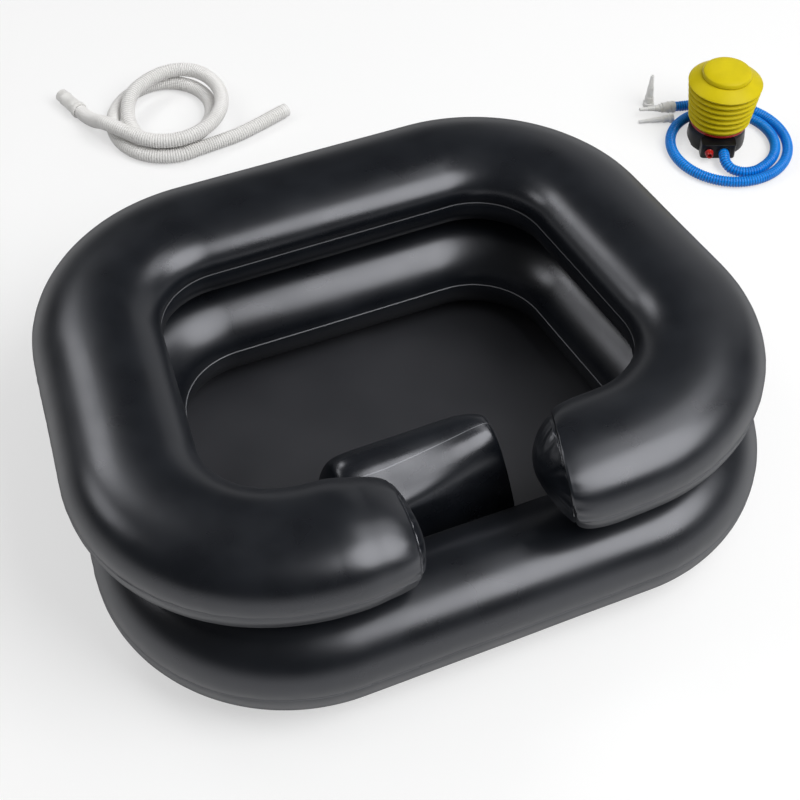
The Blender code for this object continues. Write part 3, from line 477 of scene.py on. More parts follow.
def skin(columns, rows, place):
    """A surface from a grid: place(u, v) puts each of its points, u along it and v round it."""
    bm = bmesh.new()
    bmesh.ops.create_grid(bm, x_segments=columns, y_segments=rows, size=1)
    map_layer = bm.loops.layers.uv.new("skin")
    for face in bm.faces:
        for corner in face.loops:
            corner[map_layer].uv = ((corner.vert.co.x + 1) / 2, (corner.vert.co.y + 1) / 2)
    for vert in bm.verts:
        vert.co = place((vert.co.x + 1) / 2, (vert.co.y + 1) / 2)
    bmesh.ops.remove_doubles(bm, verts=bm.verts[:], dist=WELD)
    return bm


def shares(radius, base, height, points):
    """Outline points from shares of a radius and of a height above a base."""
    return [(radius * out, base + height * up) for out, up in points]


def lathe(profile, steps=FINE_STEPS, soft=0):
    """Turns a closed outline of (radius, height) points about Z; soft rounds its edges."""
    bm = bmesh.new()
    verts = [bm.verts.new((radius, 0, height)) for radius, height in profile]
    pairs = zip(verts, verts[1:] + verts[:1])
    edges = [bm.edges.new(pair) for pair in pairs if pair[0].co.x + pair[1].co.x > 0]
    bmesh.ops.spin(
        bm, geom=verts + edges, cent=(0, 0, 0), axis=(0, 0, 1), angle=math.tau, steps=steps, use_merge=True
    )
    bmesh.ops.remove_doubles(bm, verts=bm.verts[:], dist=WELD)
    bmesh.ops.recalc_face_normals(bm, faces=bm.faces[:])
    if soft:
        soften(bm, soft)
    return bm


def rod(radius, low, high, steps=48, soft=0):
    return lathe([(0, low), (radius, low), (radius, high), (0, high)], steps, soft)


def spigot(bore, radius, length, shoulder):
    """The start of an outline: a spigot below its seat, out to the shoulder above it."""
    return [(bore, -length), (radius, -length), (radius, SEAT_GAP), (shoulder, SEAT_GAP)]


def soften(bm, width, segments=3, angle=28):
    """Bevels the edges that turn by more than the angle."""
    sharp = [edge for edge in bm.edges if edge.is_manifold and edge.calc_face_angle(0) > math.radians(angle)]
    bmesh.ops.bevel(
        bm, geom=sharp, offset=width, segments=segments, profile=0.5, affect="EDGES", material=-1, clamp_overlap=True
    )


def block(low, high):
    bm = bmesh.new()
    bmesh.ops.create_cube(bm, size=1)
    size = Vector(high) - Vector(low)
    middle = (Vector(high) + Vector(low)) / 2
    placed = Matrix.Translation(middle) @ Matrix.Diagonal((*size, 1))
    bmesh.ops.transform(bm, matrix=placed, verts=bm.verts[:])
    return bm


def moved(bm, matrix):
    bmesh.ops.transform(bm, matrix=matrix, verts=bm.verts[:])
    return bm


def as_object(name, bm):
    mesh = bpy.data.meshes.new(name)
    bm.to_mesh(mesh)
    bm.free()
    made = bpy.data.objects.new(name, mesh)
    bpy.context.scene.collection.objects.link(made)
    return made


def piece(name, bm, material, body, *nodes, crease=35):
    """Makes one piece of the set, riding on its body and standing for its nodes."""
    bmesh.ops.recalc_face_normals(bm, faces=bm.faces[:])
    made = as_object(name, bm)
    made.data.shade_smooth()
    if crease < 180:
        made.data.set_sharp_from_angle(angle=math.radians(crease))
    made.data.materials.append(material)
    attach(made, body)
    if nodes:
        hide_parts(*nodes)
    return made


def combined(target, tool, operation):
    """Cuts the tool out of the target, or joins it on, and keeps the result as the target's mesh."""
    step = target.modifiers.new("combine", "BOOLEAN")
    step.operation = operation
    step.solver = "EXACT"
    step.object = tool
    done = bpy.data.meshes.new_from_object(target.evaluated_get(bpy.context.evaluated_depsgraph_get()))
    target.modifiers.clear()
    target.data = done
    bpy.data.objects.remove(tool, do_unlink=True)


def carved(bm, *tools):
    """A bmesh once its tools, each a bmesh and an operation, have been worked into it in turn."""
    target = as_object("carving", bm)
    for tool, operation in tools:
        combined(target, as_object("carving_tool", tool), operation)
    done = bmesh.new()
    done.from_mesh(target.data)
    bpy.data.objects.remove(target, do_unlink=True)
    bmesh.ops.remove_doubles(done, verts=done.verts[:], dist=WELD)
    return done

# Materials

def put(tree, socket, value):
    """Gives a node's input a value, or links another node's output to it."""
    if isinstance(value, bpy.types.NodeSocket):
        tree.links.new(value, socket)
    else:
        socket.default_value = value


def add(tree, kind, **values):
    """A node with its settings and inputs, taken in their order."""
    made = tree.nodes.new(kind)
    for name, value in values.items():
        key = name.replace("_", " ")
        if key in made.inputs:
            put(tree, made.inputs[key], value)
        else:
            setattr(made, name, value)
    return made


def maths(tree, operation, *values):
    made = add(tree, "ShaderNodeMath", operation=operation)
    for socket, value in zip(made.inputs, values):
        put(tree, socket, value)
    return made.outputs["Value"]


def set_shader(material, **values):
    tree = material.node_tree
    for name, value in values.items():
        put(tree, tree.nodes["Principled BSDF"].inputs[name.replace("_", " ")], value)


def grain_group():
    """Fine grain and broad mottling for every moulded or film surface."""
    group = bpy.data.node_groups.new("surface_grain", "ShaderNodeTree")
    kinds = (("Grain", 900, 2, 0, 1), ("Mottle", 14, 3, 0.30, 0.70))
    for name, scale, *_ in kinds:
        group.interface.new_socket(name, in_out="OUTPUT", socket_type="NodeSocketFloat")
        socket = group.interface.new_socket(name + " scale", in_out="INPUT", socket_type="NodeSocketFloat")
        socket.default_value = scale
    scales = add(group, "NodeGroupInput").outputs
    results = add(group, "NodeGroupOutput").inputs
    place = add(group, "ShaderNodeTexCoord").outputs["Object"]
    for name, _, detail, low, high in kinds:
        texture = add(group, "ShaderNodeTexNoise", Vector=place, Scale=scales[name + " scale"], Detail=detail)
        spread = add(group, "ShaderNodeMapRange", Value=texture.outputs["Fac"], From_Min=low, From_Max=high)
        put(group, results[name], spread.outputs["Result"])
    return group


GRAIN = grain_group()


def finish_of(name, slot, dark, light, rough, grain=900, mottle=14, bump=0.02, height=0.0002, **shader):
    """A plastic or film finish: its colour and gloss vary with the mottling, its bump with the grain."""
    made = bpy.data.materials.new(name)
    made.use_nodes = True
    made["slot"] = slot
    tree = made.node_tree
    surface = add(tree, "ShaderNodeGroup", node_tree=GRAIN, Grain_scale=grain, Mottle_scale=mottle).outputs
    colour = add(
        tree, "ShaderNodeMix", name="colour", data_type="RGBA", Factor=surface["Mottle"],
        A=(*dark, 1), B=(*light, 1),
    )
    gloss = add(
        tree, "ShaderNodeMapRange", name="gloss", Value=surface["Mottle"], To_Min=rough[0], To_Max=rough[1]
    )
    relief = add(tree, "ShaderNodeBump", Strength=bump, Distance=height, Height=surface["Grain"])
    set_shader(
        made, Base_Color=colour.outputs["Result"], Roughness=gloss.outputs["Result"],
        Normal=relief.outputs["Normal"], **shader,
    )
    return made


def skin_map(tree):
    """How far along and round its skin a spot lies, as the shares X and Y."""
    places = add(tree, "ShaderNodeUVMap", uv_map="skin")
    return add(tree, "ShaderNodeSeparateXYZ", Vector=places.outputs["UV"]).outputs


def tinted(tree, share, base, colour):
    return add(tree, "ShaderNodeMix", data_type="RGBA", Factor=share, A=base, B=(*colour, 1)).outputs["Result"]


def painted_seam_highlights(material, rows):
    """Paints thin highlights along weld seams that run along a skin map at Y = row, each (row, half_width, colour).
    """
    tree = material.node_tree
    around = skin_map(tree)["Y"]
    base = tree.nodes["colour"].outputs["Result"]
    for row, half_width, colour in rows:
        near = add(
            tree, "ShaderNodeMapRange", interpolation_type="SMOOTHSTEP",
            Value=maths(tree, "ABSOLUTE", maths(tree, "SUBTRACT", around, row)),
            From_Min=half_width * (1 + SEAM_EDGE), From_Max=half_width * (1 - SEAM_EDGE),
        )
        base = tinted(tree, near.outputs["Result"], base, colour)
    set_shader(material, Base_Color=base)


def rib_shade(material, ribs, groove_shade):
    """Paints shade into the grooves of a ribbed hose, darkening them a little."""
    tree = material.node_tree
    wave = maths(tree, "PINGPONG", maths(tree, "MULTIPLY", skin_map(tree)["X"], ribs), 0.5)
    deep = add(tree, "ShaderNodeMapRange", Value=wave, From_Min=GROOVE_EDGE, From_Max=0)
    base = tree.nodes["colour"].outputs["Result"]
    set_shader(material, Base_Color=tinted(tree, deep.outputs["Result"], base, groove_shade))


def duller_rims(material):
    """Lets the gloss go softer where the surface turns away, as on thin stretched film."""
    tree = material.node_tree
    turned = add(tree, "ShaderNodeLayerWeight", Blend=0.5).outputs["Facing"]
    steep = maths(tree, "POWER", turned, RIM_POWER)
    gloss = tree.nodes["gloss"].outputs["Result"]
    set_shader(material, Roughness=maths(tree, "MULTIPLY_ADD", steep, RIM_DULLING, gloss))


# Curves and steps along them

def distances(points):
    """How far along a row of points each one lies."""
    travelled = [0]
    for before, here in zip(points, points[1:]):
        travelled.append(travelled[-1] + (here - before).length)
    return travelled


def even_steps(travelled, count):
    """Even goals along travelled distances: the goal, the index before it and the share of the way on."""
    i = 0
    for step in range(count + 1):
        goal = travelled[-1] * step / count
        while i < len(travelled) - 2 and travelled[i + 1] < goal:
            i += 1
        yield goal, i, (goal - travelled[i]) / (travelled[i + 1] - travelled[i])


def with_ends(points):
    """The points as vectors, with one more beyond each end."""
    spots = [Vector(point) for point in points]
    return [spots[0] * 2 - spots[1], *spots, spots[-1] * 2 - spots[-2]]


def curve_between(before, here, there, after, t):
    """The spot at the share t of a smooth curve from here to there."""
    bend = (before * 2 - here * 5 + there * 4 - after) * t ** 2
    twist = (here * 3 - before - there * 3 + after) * t ** 3
    return here + ((there - before) * t + bend + twist) / 2


def smooth_through(points, count):
    """Points on a smooth curve through the given ones, evenly spaced by their order."""
    spots = with_ends(points)
    spans = len(spots) - 3
    made = []
    for step in range(count + 1):
        place = spans * step / count
        i = min(int(place), spans - 1)
        made.append(curve_between(*spots[i:i + 4], place - i))
    return made


def smooth_route(points, count):
    """Evenly spaced points along a smooth curve through the given ones, and its length."""
    spots = with_ends(points)
    fine = []
    for i in range(len(spots) - 3):
        fine += [curve_between(*spots[i:i + 4], step / ROUTE_PIECES) for step in range(ROUTE_PIECES)]
    fine.append(spots[-2])
    travelled = distances(fine)
    even = [fine[i].lerp(fine[i + 1], min(share, 1)) for _, i, share in even_steps(travelled, count - 1)]
    return even, travelled[-1]


# The basin's film

def outline_stations(front, back, half_front, half_back, front_corner, back_corner):
    """Even stations round a rounded trapezium from the middle of its front: point, outward, travelled, bend."""
    corners = [((half_front, -front), front_corner), ((half_back, back), back_corner)]
    corners += [((-half_back, back), back_corner), ((-half_front, -front), front_corner)]
    spots = [Vector(corner) for corner, _ in corners]
    raw = [(Vector((0, -front)), Vector((0, -1)), 0)]
    for i, (_, radius) in enumerate(corners):
        before = (spots[i] - spots[i - 1]).normalized()
        after = (spots[(i + 1) % 4] - spots[i]).normalized()
        bend = before.angle(after)
        start = spots[i] - before * radius * math.tan(bend / 2)
        normal = Vector((before.y, -before.x))
        centre = start - normal * radius
        for step in range(ARC_STEPS + 1):
            turn = Matrix.Rotation(bend * step / ARC_STEPS, 2)
            raw.append((centre + turn @ normal * radius, turn @ normal, 1))
    raw.append(raw[0])
    travelled = distances([point for point, _, _ in raw])
    stations = []
    for goal, i, share in even_steps(travelled, round(travelled[-1] / STATION_SPACING)):
        here, there = raw[i], raw[i + 1]
        outward = here[1].lerp(there[1], share).normalized()
        stations.append((here[0].lerp(there[0], share), outward, goal, here[2] * there[2]))
    return stations


def centre_line(front, back, inset, half_width, front_corner, back_corner):
    """The stations round the middle of a tube, from its outer outline."""
    return outline_stations(
        front - half_width,
        back - half_width,
        FRONT_HALF_WIDTH - inset - half_width,
        BACK_HALF_WIDTH - inset - half_width,
        front_corner - half_width,
        back_corner - half_width,
    )


def lower_centre_line():
    return centre_line(LOWER_FRONT, LOWER_BACK, LOWER_INSET, LOWER_HALF_WIDTH, LOWER_FRONT_CORNER, LOWER_BACK_CORNER)


def softened_bends(stations):
    """The stations with each bend spread along on both sides."""
    bends = [station[3] for station in stations]
    window = round(BEND_SPREAD / STATION_SPACING)
    spread = []
    for i in range(len(bends)):
        near = [bends[(i + k) % len(bends)] for k in range(-window, window + 1)]
        spread.append(sum(near) / len(near))
    return [(*station[:3], bend) for station, bend in zip(stations, spread)]


def superellipse(angle, half_width, half_height):
    c, s = math.cos(angle), math.sin(angle)
    across = math.copysign(abs(c) ** (2 / SECTION_POWER), c) * half_width
    return across, math.copysign(abs(s) ** (2 / SECTION_POWER), s) * half_height


def film_section(station, v, half_width, half_height, pinch, lift, seed, held=1.0):
    """An air tube's section at v, out and up: a superellipse pinched at its two welds, with beads and puckers."""
    point, _, travelled, bend = station
    angle = math.tau * (v - SEAM_CROWDING / (4 * math.pi) * math.sin(4 * math.pi * v))
    across, up = superellipse(angle, half_width, half_height)
    side = 1 if math.cos(angle) > 0 else -1
    away = abs(up)
    depth, reach = (OUTER_SEAM_PINCH, OUTER_PINCH_REACH) if side > 0 else (pinch, INNER_PINCH_REACH)
    inward = depth * math.exp(-away / reach)
    inward -= BEAD_HEIGHT * (1 - eased(away / BEAD_HALF_WIDTH))
    strength = (STRAIGHT_PUCKER + (CORNER_PUCKER - STRAIGHT_PUCKER) * bend) * (1 if side > 0 else INNER_PUCKER_SHARE)
    wrinkle = noise.noise(Vector((travelled / PUCKER_PITCH, seed + side, away / PUCKER_REACH)))
    inward += wrinkle * strength * math.exp(-away / PUCKER_REACH) * 2
    if side < 0:
        up += lift * held * math.exp(-((away / (half_height / 2)) ** 2))
    across -= side * inward * held
    broad = noise.noise(Vector((point.x, point.y, seed)) / SWELL_LENGTH + Vector((0, 0, angle)))
    grown = 1 + (broad - 0.5) * SWELL * held / math.hypot(across, up)
    return across * grown, up * grown


def on_station(station, across, up, middle):
    spot = station[0] + station[1] * across
    return Vector((spot.x, spot.y, middle + up))


def valve_pocket(place):
    """A tool that makes room in a chamber for a valve that faces +Y."""
    depth = VALVE_REACH_IN + VALVE_POCKET_ROOM
    return moved(rod(VALVE_POCKET_RADIUS, -depth, depth, 40), Matrix.Translation(place) @ FACING_BACK)


def lower_chamber(film):
    stations = softened_bends(lower_centre_line())
    stations[-1] = stations[0]
    columns = len(stations) - 1

    def place(u, v):
        station = stations[round(u * columns)]
        across, up = film_section(
            station, v, LOWER_HALF_WIDTH, LOWER_HALF_HEIGHT, LOWER_SEAM_PINCH, LOWER_SEAM_LIFT, LOWER_SEED
        )
        if across < 0 < up:
            from_gap = min(station[2], stations[-1][2] - station[2])
            dip = NECK_DIP * eased((NECK_DIP_REACH - from_gap) / NECK_DIP_FADE)
            inner = -across / LOWER_HALF_WIDTH
            across *= 1 - dip * up / LOWER_HALF_HEIGHT
            up *= 1 - dip * inner
        return on_station(station, across, up, LOWER_MIDDLE)

    bm = carved(skin(columns, CHAMBER_ROWS, place), (valve_pocket(LOWER_VALVE), "DIFFERENCE"))
    made = piece("lower_air_ring", bm, film, "basin", "lower_ring_chamber", crease=55)


def end_pucker(shape, out, high, near):
    """The film's fine folds beside an end seam, near being the share of the way from it."""
    angle = math.atan2(high, out)
    folds = noise.noise(Vector((math.cos(angle), math.sin(angle), shape["share"])) * END_PUCKERS)
    share = near / END_PUCKER_SHARE
    return folds * END_PUCKER * share * math.exp(1 - share)


def end_crevice(near):
    """How far both sides of an end seam draw in at the weld, near being the share of the way from it."""
    return END_CREVICE * (1 - eased(near / END_CREVICE_REACH))


def end_stations(shape, sign, whole):
    """The stations of one end from its seam on, END_DENSITY times as close as the rest."""
    made = []
    count = round(shape["reach"] / STATION_SPACING * END_DENSITY)
    for step in range(count + 1):
        along = shape["seam"] + shape["reach"] * step / count
        point = Vector((sign * along, UPPER_HALF_WIDTH - UPPER_FRONT))
        made.append((point, Vector((0, -1)), along if sign > 0 else whole - along, 0))
    return made


def upper_chamber(film):
    """The open ring: each end draws in, leans out and rolls into its slanted seam."""
    stations = softened_bends(
        centre_line(UPPER_FRONT, UPPER_BACK, 0, UPPER_HALF_WIDTH, UPPER_FRONT_CORNER, UPPER_BACK_CORNER)
    )
    whole = stations[-1][2]
    right = end_stations(RIGHT_END, 1, whole)
    left = end_stations(LEFT_END, -1, whole)[::-1]
    room = STATION_SPACING / 2
    between = [station for station in stations if right[-1][2] + room < station[2] < left[0][2] - room]
    stations = right + between + left
    columns = len(stations) - 1

    def place(u, v):
        station = stations[round(u * columns)]
        travelled = station[2]
        shape, sign = (RIGHT_END, -1) if travelled < whole / 2 else (LEFT_END, 1)
        along = min(travelled, whole - travelled)
        start = shape["seam"] + shape["reach"]
        drawn = min(max((start - along) / shape["reach"], 0), 1)
        taper = drawn ** shape["taper"] * eased(drawn / END_START)
        across, up = film_section(
            station, v, UPPER_HALF_WIDTH, UPPER_HALF_HEIGHT, UPPER_SEAM_PINCH, UPPER_SEAM_LIFT, UPPER_SEED,
            1 - drawn ** END_SEAM_FADE,
        )
        out, high = across / UPPER_HALF_WIDTH, up / UPPER_HALF_HEIGHT
        pucker = end_pucker(shape, out, high, 1 - drawn) if drawn > 0 else 0
        size = 1 - (1 - shape["share"]) * taper + (pucker - end_crevice(1 - drawn)) / UPPER_HALF_WIDTH
        lean = shape["lean"] * eased((shape["seam"] + shape["lean_reach"] - along) / shape["lean_reach"])
        spot = on_station(station, across * size + lean, up * size + shape["rise"] * taper, UPPER_MIDDLE)
        if drawn > 0:
            seam = shape["seam"] + shape["slant"] * out + shape["rake"] * high
            advance = math.sin(math.pi / 2 * drawn) ** shape["roll"]
            advance += (drawn ** END_FLUSH_POWER - advance) * END_FLUSH_SHARE
            rolled = start + (seam - start) * advance
            spot.x += sign * (along - rolled + pucker)
        return spot

    bm = skin(columns, CHAMBER_ROWS, place)
    bmesh.ops.holes_fill(bm, edges=[edge for edge in bm.edges if edge.is_boundary], sides=0)
    bm = carved(bm, (valve_pocket(UPPER_VALVE), "DIFFERENCE"))
    made = piece("upper_air_ring", bm, film, "basin", "upper_ring_chamber", crease=55)


def end_panel(name, sign, shape, film, node):
    """The welded panel on one end of the upper ring: a flat back on the seam, and a full bulge."""
    front = -(UPPER_FRONT - UPPER_HALF_WIDTH) - shape["lean"]
    height = UPPER_MIDDLE + shape["rise"]
    full = shape["fullness"]
    edge = (1 - PANEL_CUT_SHARE ** full) ** (1 / full)

    def place(u, v):
        step = round(u * PANEL_COLUMNS) - PANEL_BACK_COLUMNS
        out, high = superellipse(math.tau * v, 1, 1)
        if step <= 0:
            share = (step + PANEL_BACK_COLUMNS) / PANEL_BACK_COLUMNS
            bulge = pucker = 0
        else:
            last = PANEL_COLUMNS - PANEL_BACK_COLUMNS
            share = math.cos(math.pi / 2 * step / last) if step < last else 0
            bulge = ((1 - (share * PANEL_CUT_SHARE) ** full) ** (1 / full) - edge) / (1 - edge)
            pucker = end_pucker(shape, out, high, 1 - share)
        seam = shape["seam"] - SEAT_GAP + (shape["slant"] * out + shape["rake"] * high) * share
        x = shape["apex"] + (seam - shape["apex"]) * (1 - bulge)
        folded = (pucker - end_crevice(1 - share)) / UPPER_HALF_WIDTH * share
        size = (shape["share"] - 2 * SEAT_GAP / UPPER_HALF_WIDTH) * share + folded
        return Vector((
            sign * (x - pucker),
            front - out * size * UPPER_HALF_WIDTH,
            height + high * size * UPPER_HALF_HEIGHT,
        ))

    made = piece(name, skin(PANEL_COLUMNS, PANEL_ROWS, place), film, "basin", node, crease=180)


def floor_film(film):
    """The floor sheet, flat but for low waves, with the drain's hole in it."""
    edge = [point + outward * FLOOR_LAP for point, outward, _, _ in lower_centre_line()]
    edge[-1] = edge[0]
    rows = len(edge) - 1
    hole = DRAIN_HUB_RADIUS + SEAT_GAP
    drain = DRAIN.to_2d()

    def place(u, v):
        rim = edge[round(v * rows)]
        near = drain + (rim - drain).normalized() * hole
        spot = near.lerp(rim, u ** FLOOR_CROWDING)
        flat = eased((spot - drain).length / FLOOR_DRAIN_FLAT - 0.5) * eased((rim - spot).length / FLOOR_RIM_FLAT)
        wave = sum(
            share * noise.noise(Vector((spot.x * right, spot.y * away, level)))
            for right, away, level, share in FLOOR_WAVES
        )
        return Vector((spot.x, spot.y, FILM + max(wave + FLOOR_WAVE_LIFT, 0) * FLOOR_WAVE_HEIGHT * flat))

    bm = skin(FLOOR_COLUMNS, rows, place)
    bmesh.ops.recalc_face_normals(bm, faces=bm.faces[:])
    bmesh.ops.solidify(bm, geom=bm.faces[:], thickness=FILM * 0.8)
    area = abs(sum(a.x * b.y - b.x * a.y for a, b in zip(edge, edge[1:]))) / 2
    xs, ys = [p.x for p in edge], [p.y for p in edge]
    made = piece("floor_film", bm, film, "basin", "basin_floor", crease=60)
    size = (max(xs) - min(xs), max(ys) - min(ys))


def neck_pillow(film):
    """An inflated wedge for the neck: its sloping face is long on the left and short on the right."""
    left, right = (
        smooth_through([(away, up, 0) for away, up in profile], PILLOW_ROWS)
        for profile in (PILLOW_LEFT_PROFILE, PILLOW_RIGHT_PROFILE)
    )
    stations = smooth_through(PILLOW_STATIONS, PILLOW_COLUMNS)
    total = PILLOW_COLUMNS + 2 * PILLOW_CLOSING
    heart = Vector((0, PILLOW_FRONT + PILLOW_DEPTH / 2, PILLOW_BOTTOM + PILLOW_HEIGHT * PILLOW_HEART))

    def place(u, v):
        step = round(u * total) - PILLOW_CLOSING
        x_share, height_share, depth_share = stations[min(max(step, 0), PILLOW_COLUMNS)]
        turned = min(max((x_share - PILLOW_TURN_FROM) / PILLOW_TURN, 0), 1) ** PILLOW_TURN_POWER
        y, z, _ = left[round(v * PILLOW_ROWS)].lerp(right[round(v * PILLOW_ROWS)], turned)
        back = eased((y - PILLOW_CREST) / (PILLOW_FRONT + PILLOW_DEPTH - PILLOW_CREST) * PILLOW_BACK_PACE)
        y -= (y - PILLOW_CREST) * (1 - depth_share) * back
        z = PILLOW_BOTTOM + z * height_share
        x = PILLOW_LEFT + PILLOW_WIDTH * x_share
        level = max(z / PILLOW_HEIGHT, PILLOW_SLANT_FROM)
        x += PILLOW_END_SLANT * (PILLOW_SLANT_LEVEL - level) * eased(x_share * 2 - 1)
        swell = noise.noise(Vector((x, y, z)) * PILLOW_SWELLS) * PILLOW_SWELL
        swell *= eased(z / PILLOW_HEIGHT * PILLOW_SWELL_PACE)
        spot = Vector((x, y - swell, z + swell))
        beyond = max(-step, step - PILLOW_COLUMNS, 0) / PILLOW_CLOSING
        if beyond:
            spot.y += (heart.y - spot.y) * beyond
            spot.z += (heart.z - spot.z) * beyond
            spot.x += math.copysign(PILLOW_END_BULGE, step) * math.sin(math.pi / 2 * beyond)
        return spot

    bm = skin(total, PILLOW_ROWS, place)
    bmesh.ops.holes_fill(bm, edges=[edge for edge in bm.edges if edge.is_boundary], sides=0)
    bmesh.ops.recalc_face_normals(bm, faces=bm.faces[:])
    bm = carved(bm, (valve_pocket(PILLOW_VALVE), "DIFFERENCE"))
    made = piece("pillow_film", bm, film, "basin", "neck_pillow", crease=60)


# Valves and drain

def air_valve(prefix, body, place, vinyl):
    """A valve that faces +Y: a skirt with its stem, a strap that rises beside the plug's cap, and the plug."""
    turn = Matrix.Translation(place) @ FACING_BACK
    seat = VALVE_SKIRT + SEAT_GAP
    bore, outer, skirt = VALVE_BORE_RADIUS, VALVE_STEM_RADIUS, VALVE_SKIRT_RADIUS
    stem = lathe(spigot(bore, outer, VALVE_REACH_IN, skirt) + [
        (skirt, seat * 0.8), (skirt * 0.9, seat), (outer * 1.12, seat * 1.1), (outer, seat * 1.6),
        (outer, VALVE_REACH_OUT), (bore, VALVE_REACH_OUT),
    ], VALVE_STEPS, soft=0.00018)
    half = STRAP_WIDTH / 2
    level = seat * 2
    start, end = (outer + bore) / 2, PLUG_CAP_RADIUS + SEAT_GAP + STRAP_THICKNESS
    top = VALVE_REACH_OUT + SEAT_GAP + PLUG_CAP / 2
    arm = block((-half, start, level), (half, end, level + STRAP_THICKNESS))
    rise = block((-half, end - STRAP_THICKNESS, level + STRAP_THICKNESS / 2), (half, end, top))
    for bar in (arm, rise):
        soften(bar, 0.0002)
    stem = carved(stem, (arm, "UNION"), (rise, "UNION"))
    piece(prefix + "_stem", moved(stem, turn), vinyl, "basin", prefix + "_body")
    shank = bore - SEAT_GAP
    cap = VALVE_REACH_OUT + SEAT_GAP
    plug = lathe(
        shares(shank, VALVE_REACH_OUT, -PLUG_SHANK, [(0, 1), (0.80, 1), (1, 0.78), (0.93, 0.5), (1, 0.2)])
        + [(shank, cap)]
        + shares(PLUG_CAP_RADIUS, cap, PLUG_CAP, [(1, 0), (1, 0.7), (0.9, 1), (0.45, 1), (0.35, 0.7), (0, 0.65)]),
        VALVE_STEPS, soft=0.00015,
    )
    piece(prefix + "_stopper", moved(plug, turn), vinyl, body, prefix + "_plug", crease=40)


def drain_fitting(vinyl, rubber):
    """The ring welded into the floor sheet, and its stopper with a holed tab to pull it by."""
    place = Matrix.Translation(DRAIN)
    seat = FILM + SEAT_GAP
    ring = lathe(
        [(DRAIN_BORE_RADIUS, SEAT_GAP), (DRAIN_HUB_RADIUS, SEAT_GAP), (DRAIN_HUB_RADIUS, seat)]
        + shares(DRAIN_FLANGE_RADIUS, seat, DRAIN_FLANGE, [(1, 0), (1, 0.5), (0.96, 1), (0.86, 1), (0.84, 0.7)])
        + shares(DRAIN_HUB_RADIUS, seat, DRAIN_FLANGE, [(1.12, 0.7), (1, 1.8)])
        + [(DRAIN_HUB_RADIUS, DRAIN_HUB_HEIGHT), (DRAIN_BORE_RADIUS, DRAIN_HUB_HEIGHT)],
        soft=0.0002,
    )
    piece("drain_flange", moved(ring, place), vinyl, "basin", "drain_ring")
    shank = DRAIN_BORE_RADIUS - SEAT_GAP
    cap = DRAIN_HUB_HEIGHT + SEAT_GAP
    bung = lathe(
        shares(shank, DRAIN_HUB_HEIGHT, -DRAIN_SHANK, [(0, 1), (0.90, 1), (1, 0.7), (0.96, 0.4)])
        + [(shank, cap)]
        + shares(DRAIN_CAP_RADIUS, cap, DRAIN_CAP, [(1, 0), (1, 0.7), (0.93, 1), (0.6, 1), (0.52, 0.7), (0, 0.7)]),
        soft=0.0002,
    )
    half = DRAIN_CAP_RADIUS * 0.45
    foot = cap + DRAIN_CAP
    tab = block((-half, -STRAP_THICKNESS, cap + DRAIN_CAP * 0.3), (half, STRAP_THICKNESS, foot + DRAIN_TAB_HEIGHT))
    across = [edge for edge in tab.edges if abs(edge.verts[0].co.y - edge.verts[1].co.y) > STRAP_THICKNESS]
    high = [edge for edge in across if edge.verts[0].co.z > foot + DRAIN_TAB_HEIGHT / 2]
    bmesh.ops.bevel(tab, geom=high, offset=half * 0.7, segments=8, profile=0.5, affect="EDGES", material=-1)
    soften(tab, 0.0003)
    middle = Matrix.Translation((0, 0, foot + DRAIN_TAB_HEIGHT * 0.55))
    finger = moved(rod(half * 0.36, -half, half, 32), middle @ FACING_FRONT)
    bung = carved(bung, (tab, "UNION"), (finger, "DIFFERENCE"))
    piece("drain_bung", moved(bung, place), rubber, "stopper", "drain_stopper")


# Hoses

def frames_along(route):
    """For each point of a route: the point, and the directions to the side and up."""
    made = []
    for i, point in enumerate(route):
        ahead = (route[min(i + 1, len(route) - 1)] - route[max(i - 1, 0)]).normalized()
        side = ahead.cross(Vector((0, 0, 1))).normalized()
        made.append((point, side, side.cross(ahead)))
    return made


def ribbed_hose(name, points, where, radius, bore, rib_depth, pitch, rows, material, groove_shade, body, node):
    """One ribbed tube with its bore. Returns the piece, its route in the scene and its length."""
    _, length = smooth_route(points, FIRST_POINTS)
    ribs = round(length / pitch)
    outer = ribs * RIB_STEPS
    route, length = smooth_route(points, outer + 1)
    route = [where @ point for point in route]
    frames = frames_along(route)
    total = outer + outer // BORE_STRIDE + 2
    plain = round(radius * PLAIN_END / length * outer)

    def place(u, v):
        step = round(u * total)
        if step <= outer:
            rib = (0.5 + 0.5 * math.cos(math.tau * step / RIB_STEPS)) ** RIB_SHARPNESS
            held = min(step, outer - step)
            at, reach = step, radius - rib_depth * (rib if held > plain else 0.5)
        elif step == total:
            at, reach = 0, radius - rib_depth / 2
        else:
            at = 0 if step == total - 1 else max(outer - (step - outer - 1) * BORE_STRIDE, 0)
            reach = bore
        point, side, up = frames[at]
        angle = math.tau * v
        return point + (side * math.cos(angle) + up * math.sin(angle)) * reach

    made = piece(name, skin(total, rows, place), material, body, node, crease=70)
    # Paints shade into the grooves between the ribs
    rib_shade(material, ribs * total / outer, groove_shade)
    return made, route, length


def hose_end(points, rings, where, last, before):
    """A hose's end and the way it faces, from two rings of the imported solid."""
    route, _ = smooth_route(points, rings)
    end = where @ route[last]
    return end, (end - where @ route[before]).normalized()


def facing(start, direction):
    """The placement that lays Z along a direction, from start."""
    return Matrix.Translation(start) @ direction.to_track_quat("Z", "Y").to_matrix().to_4x4()


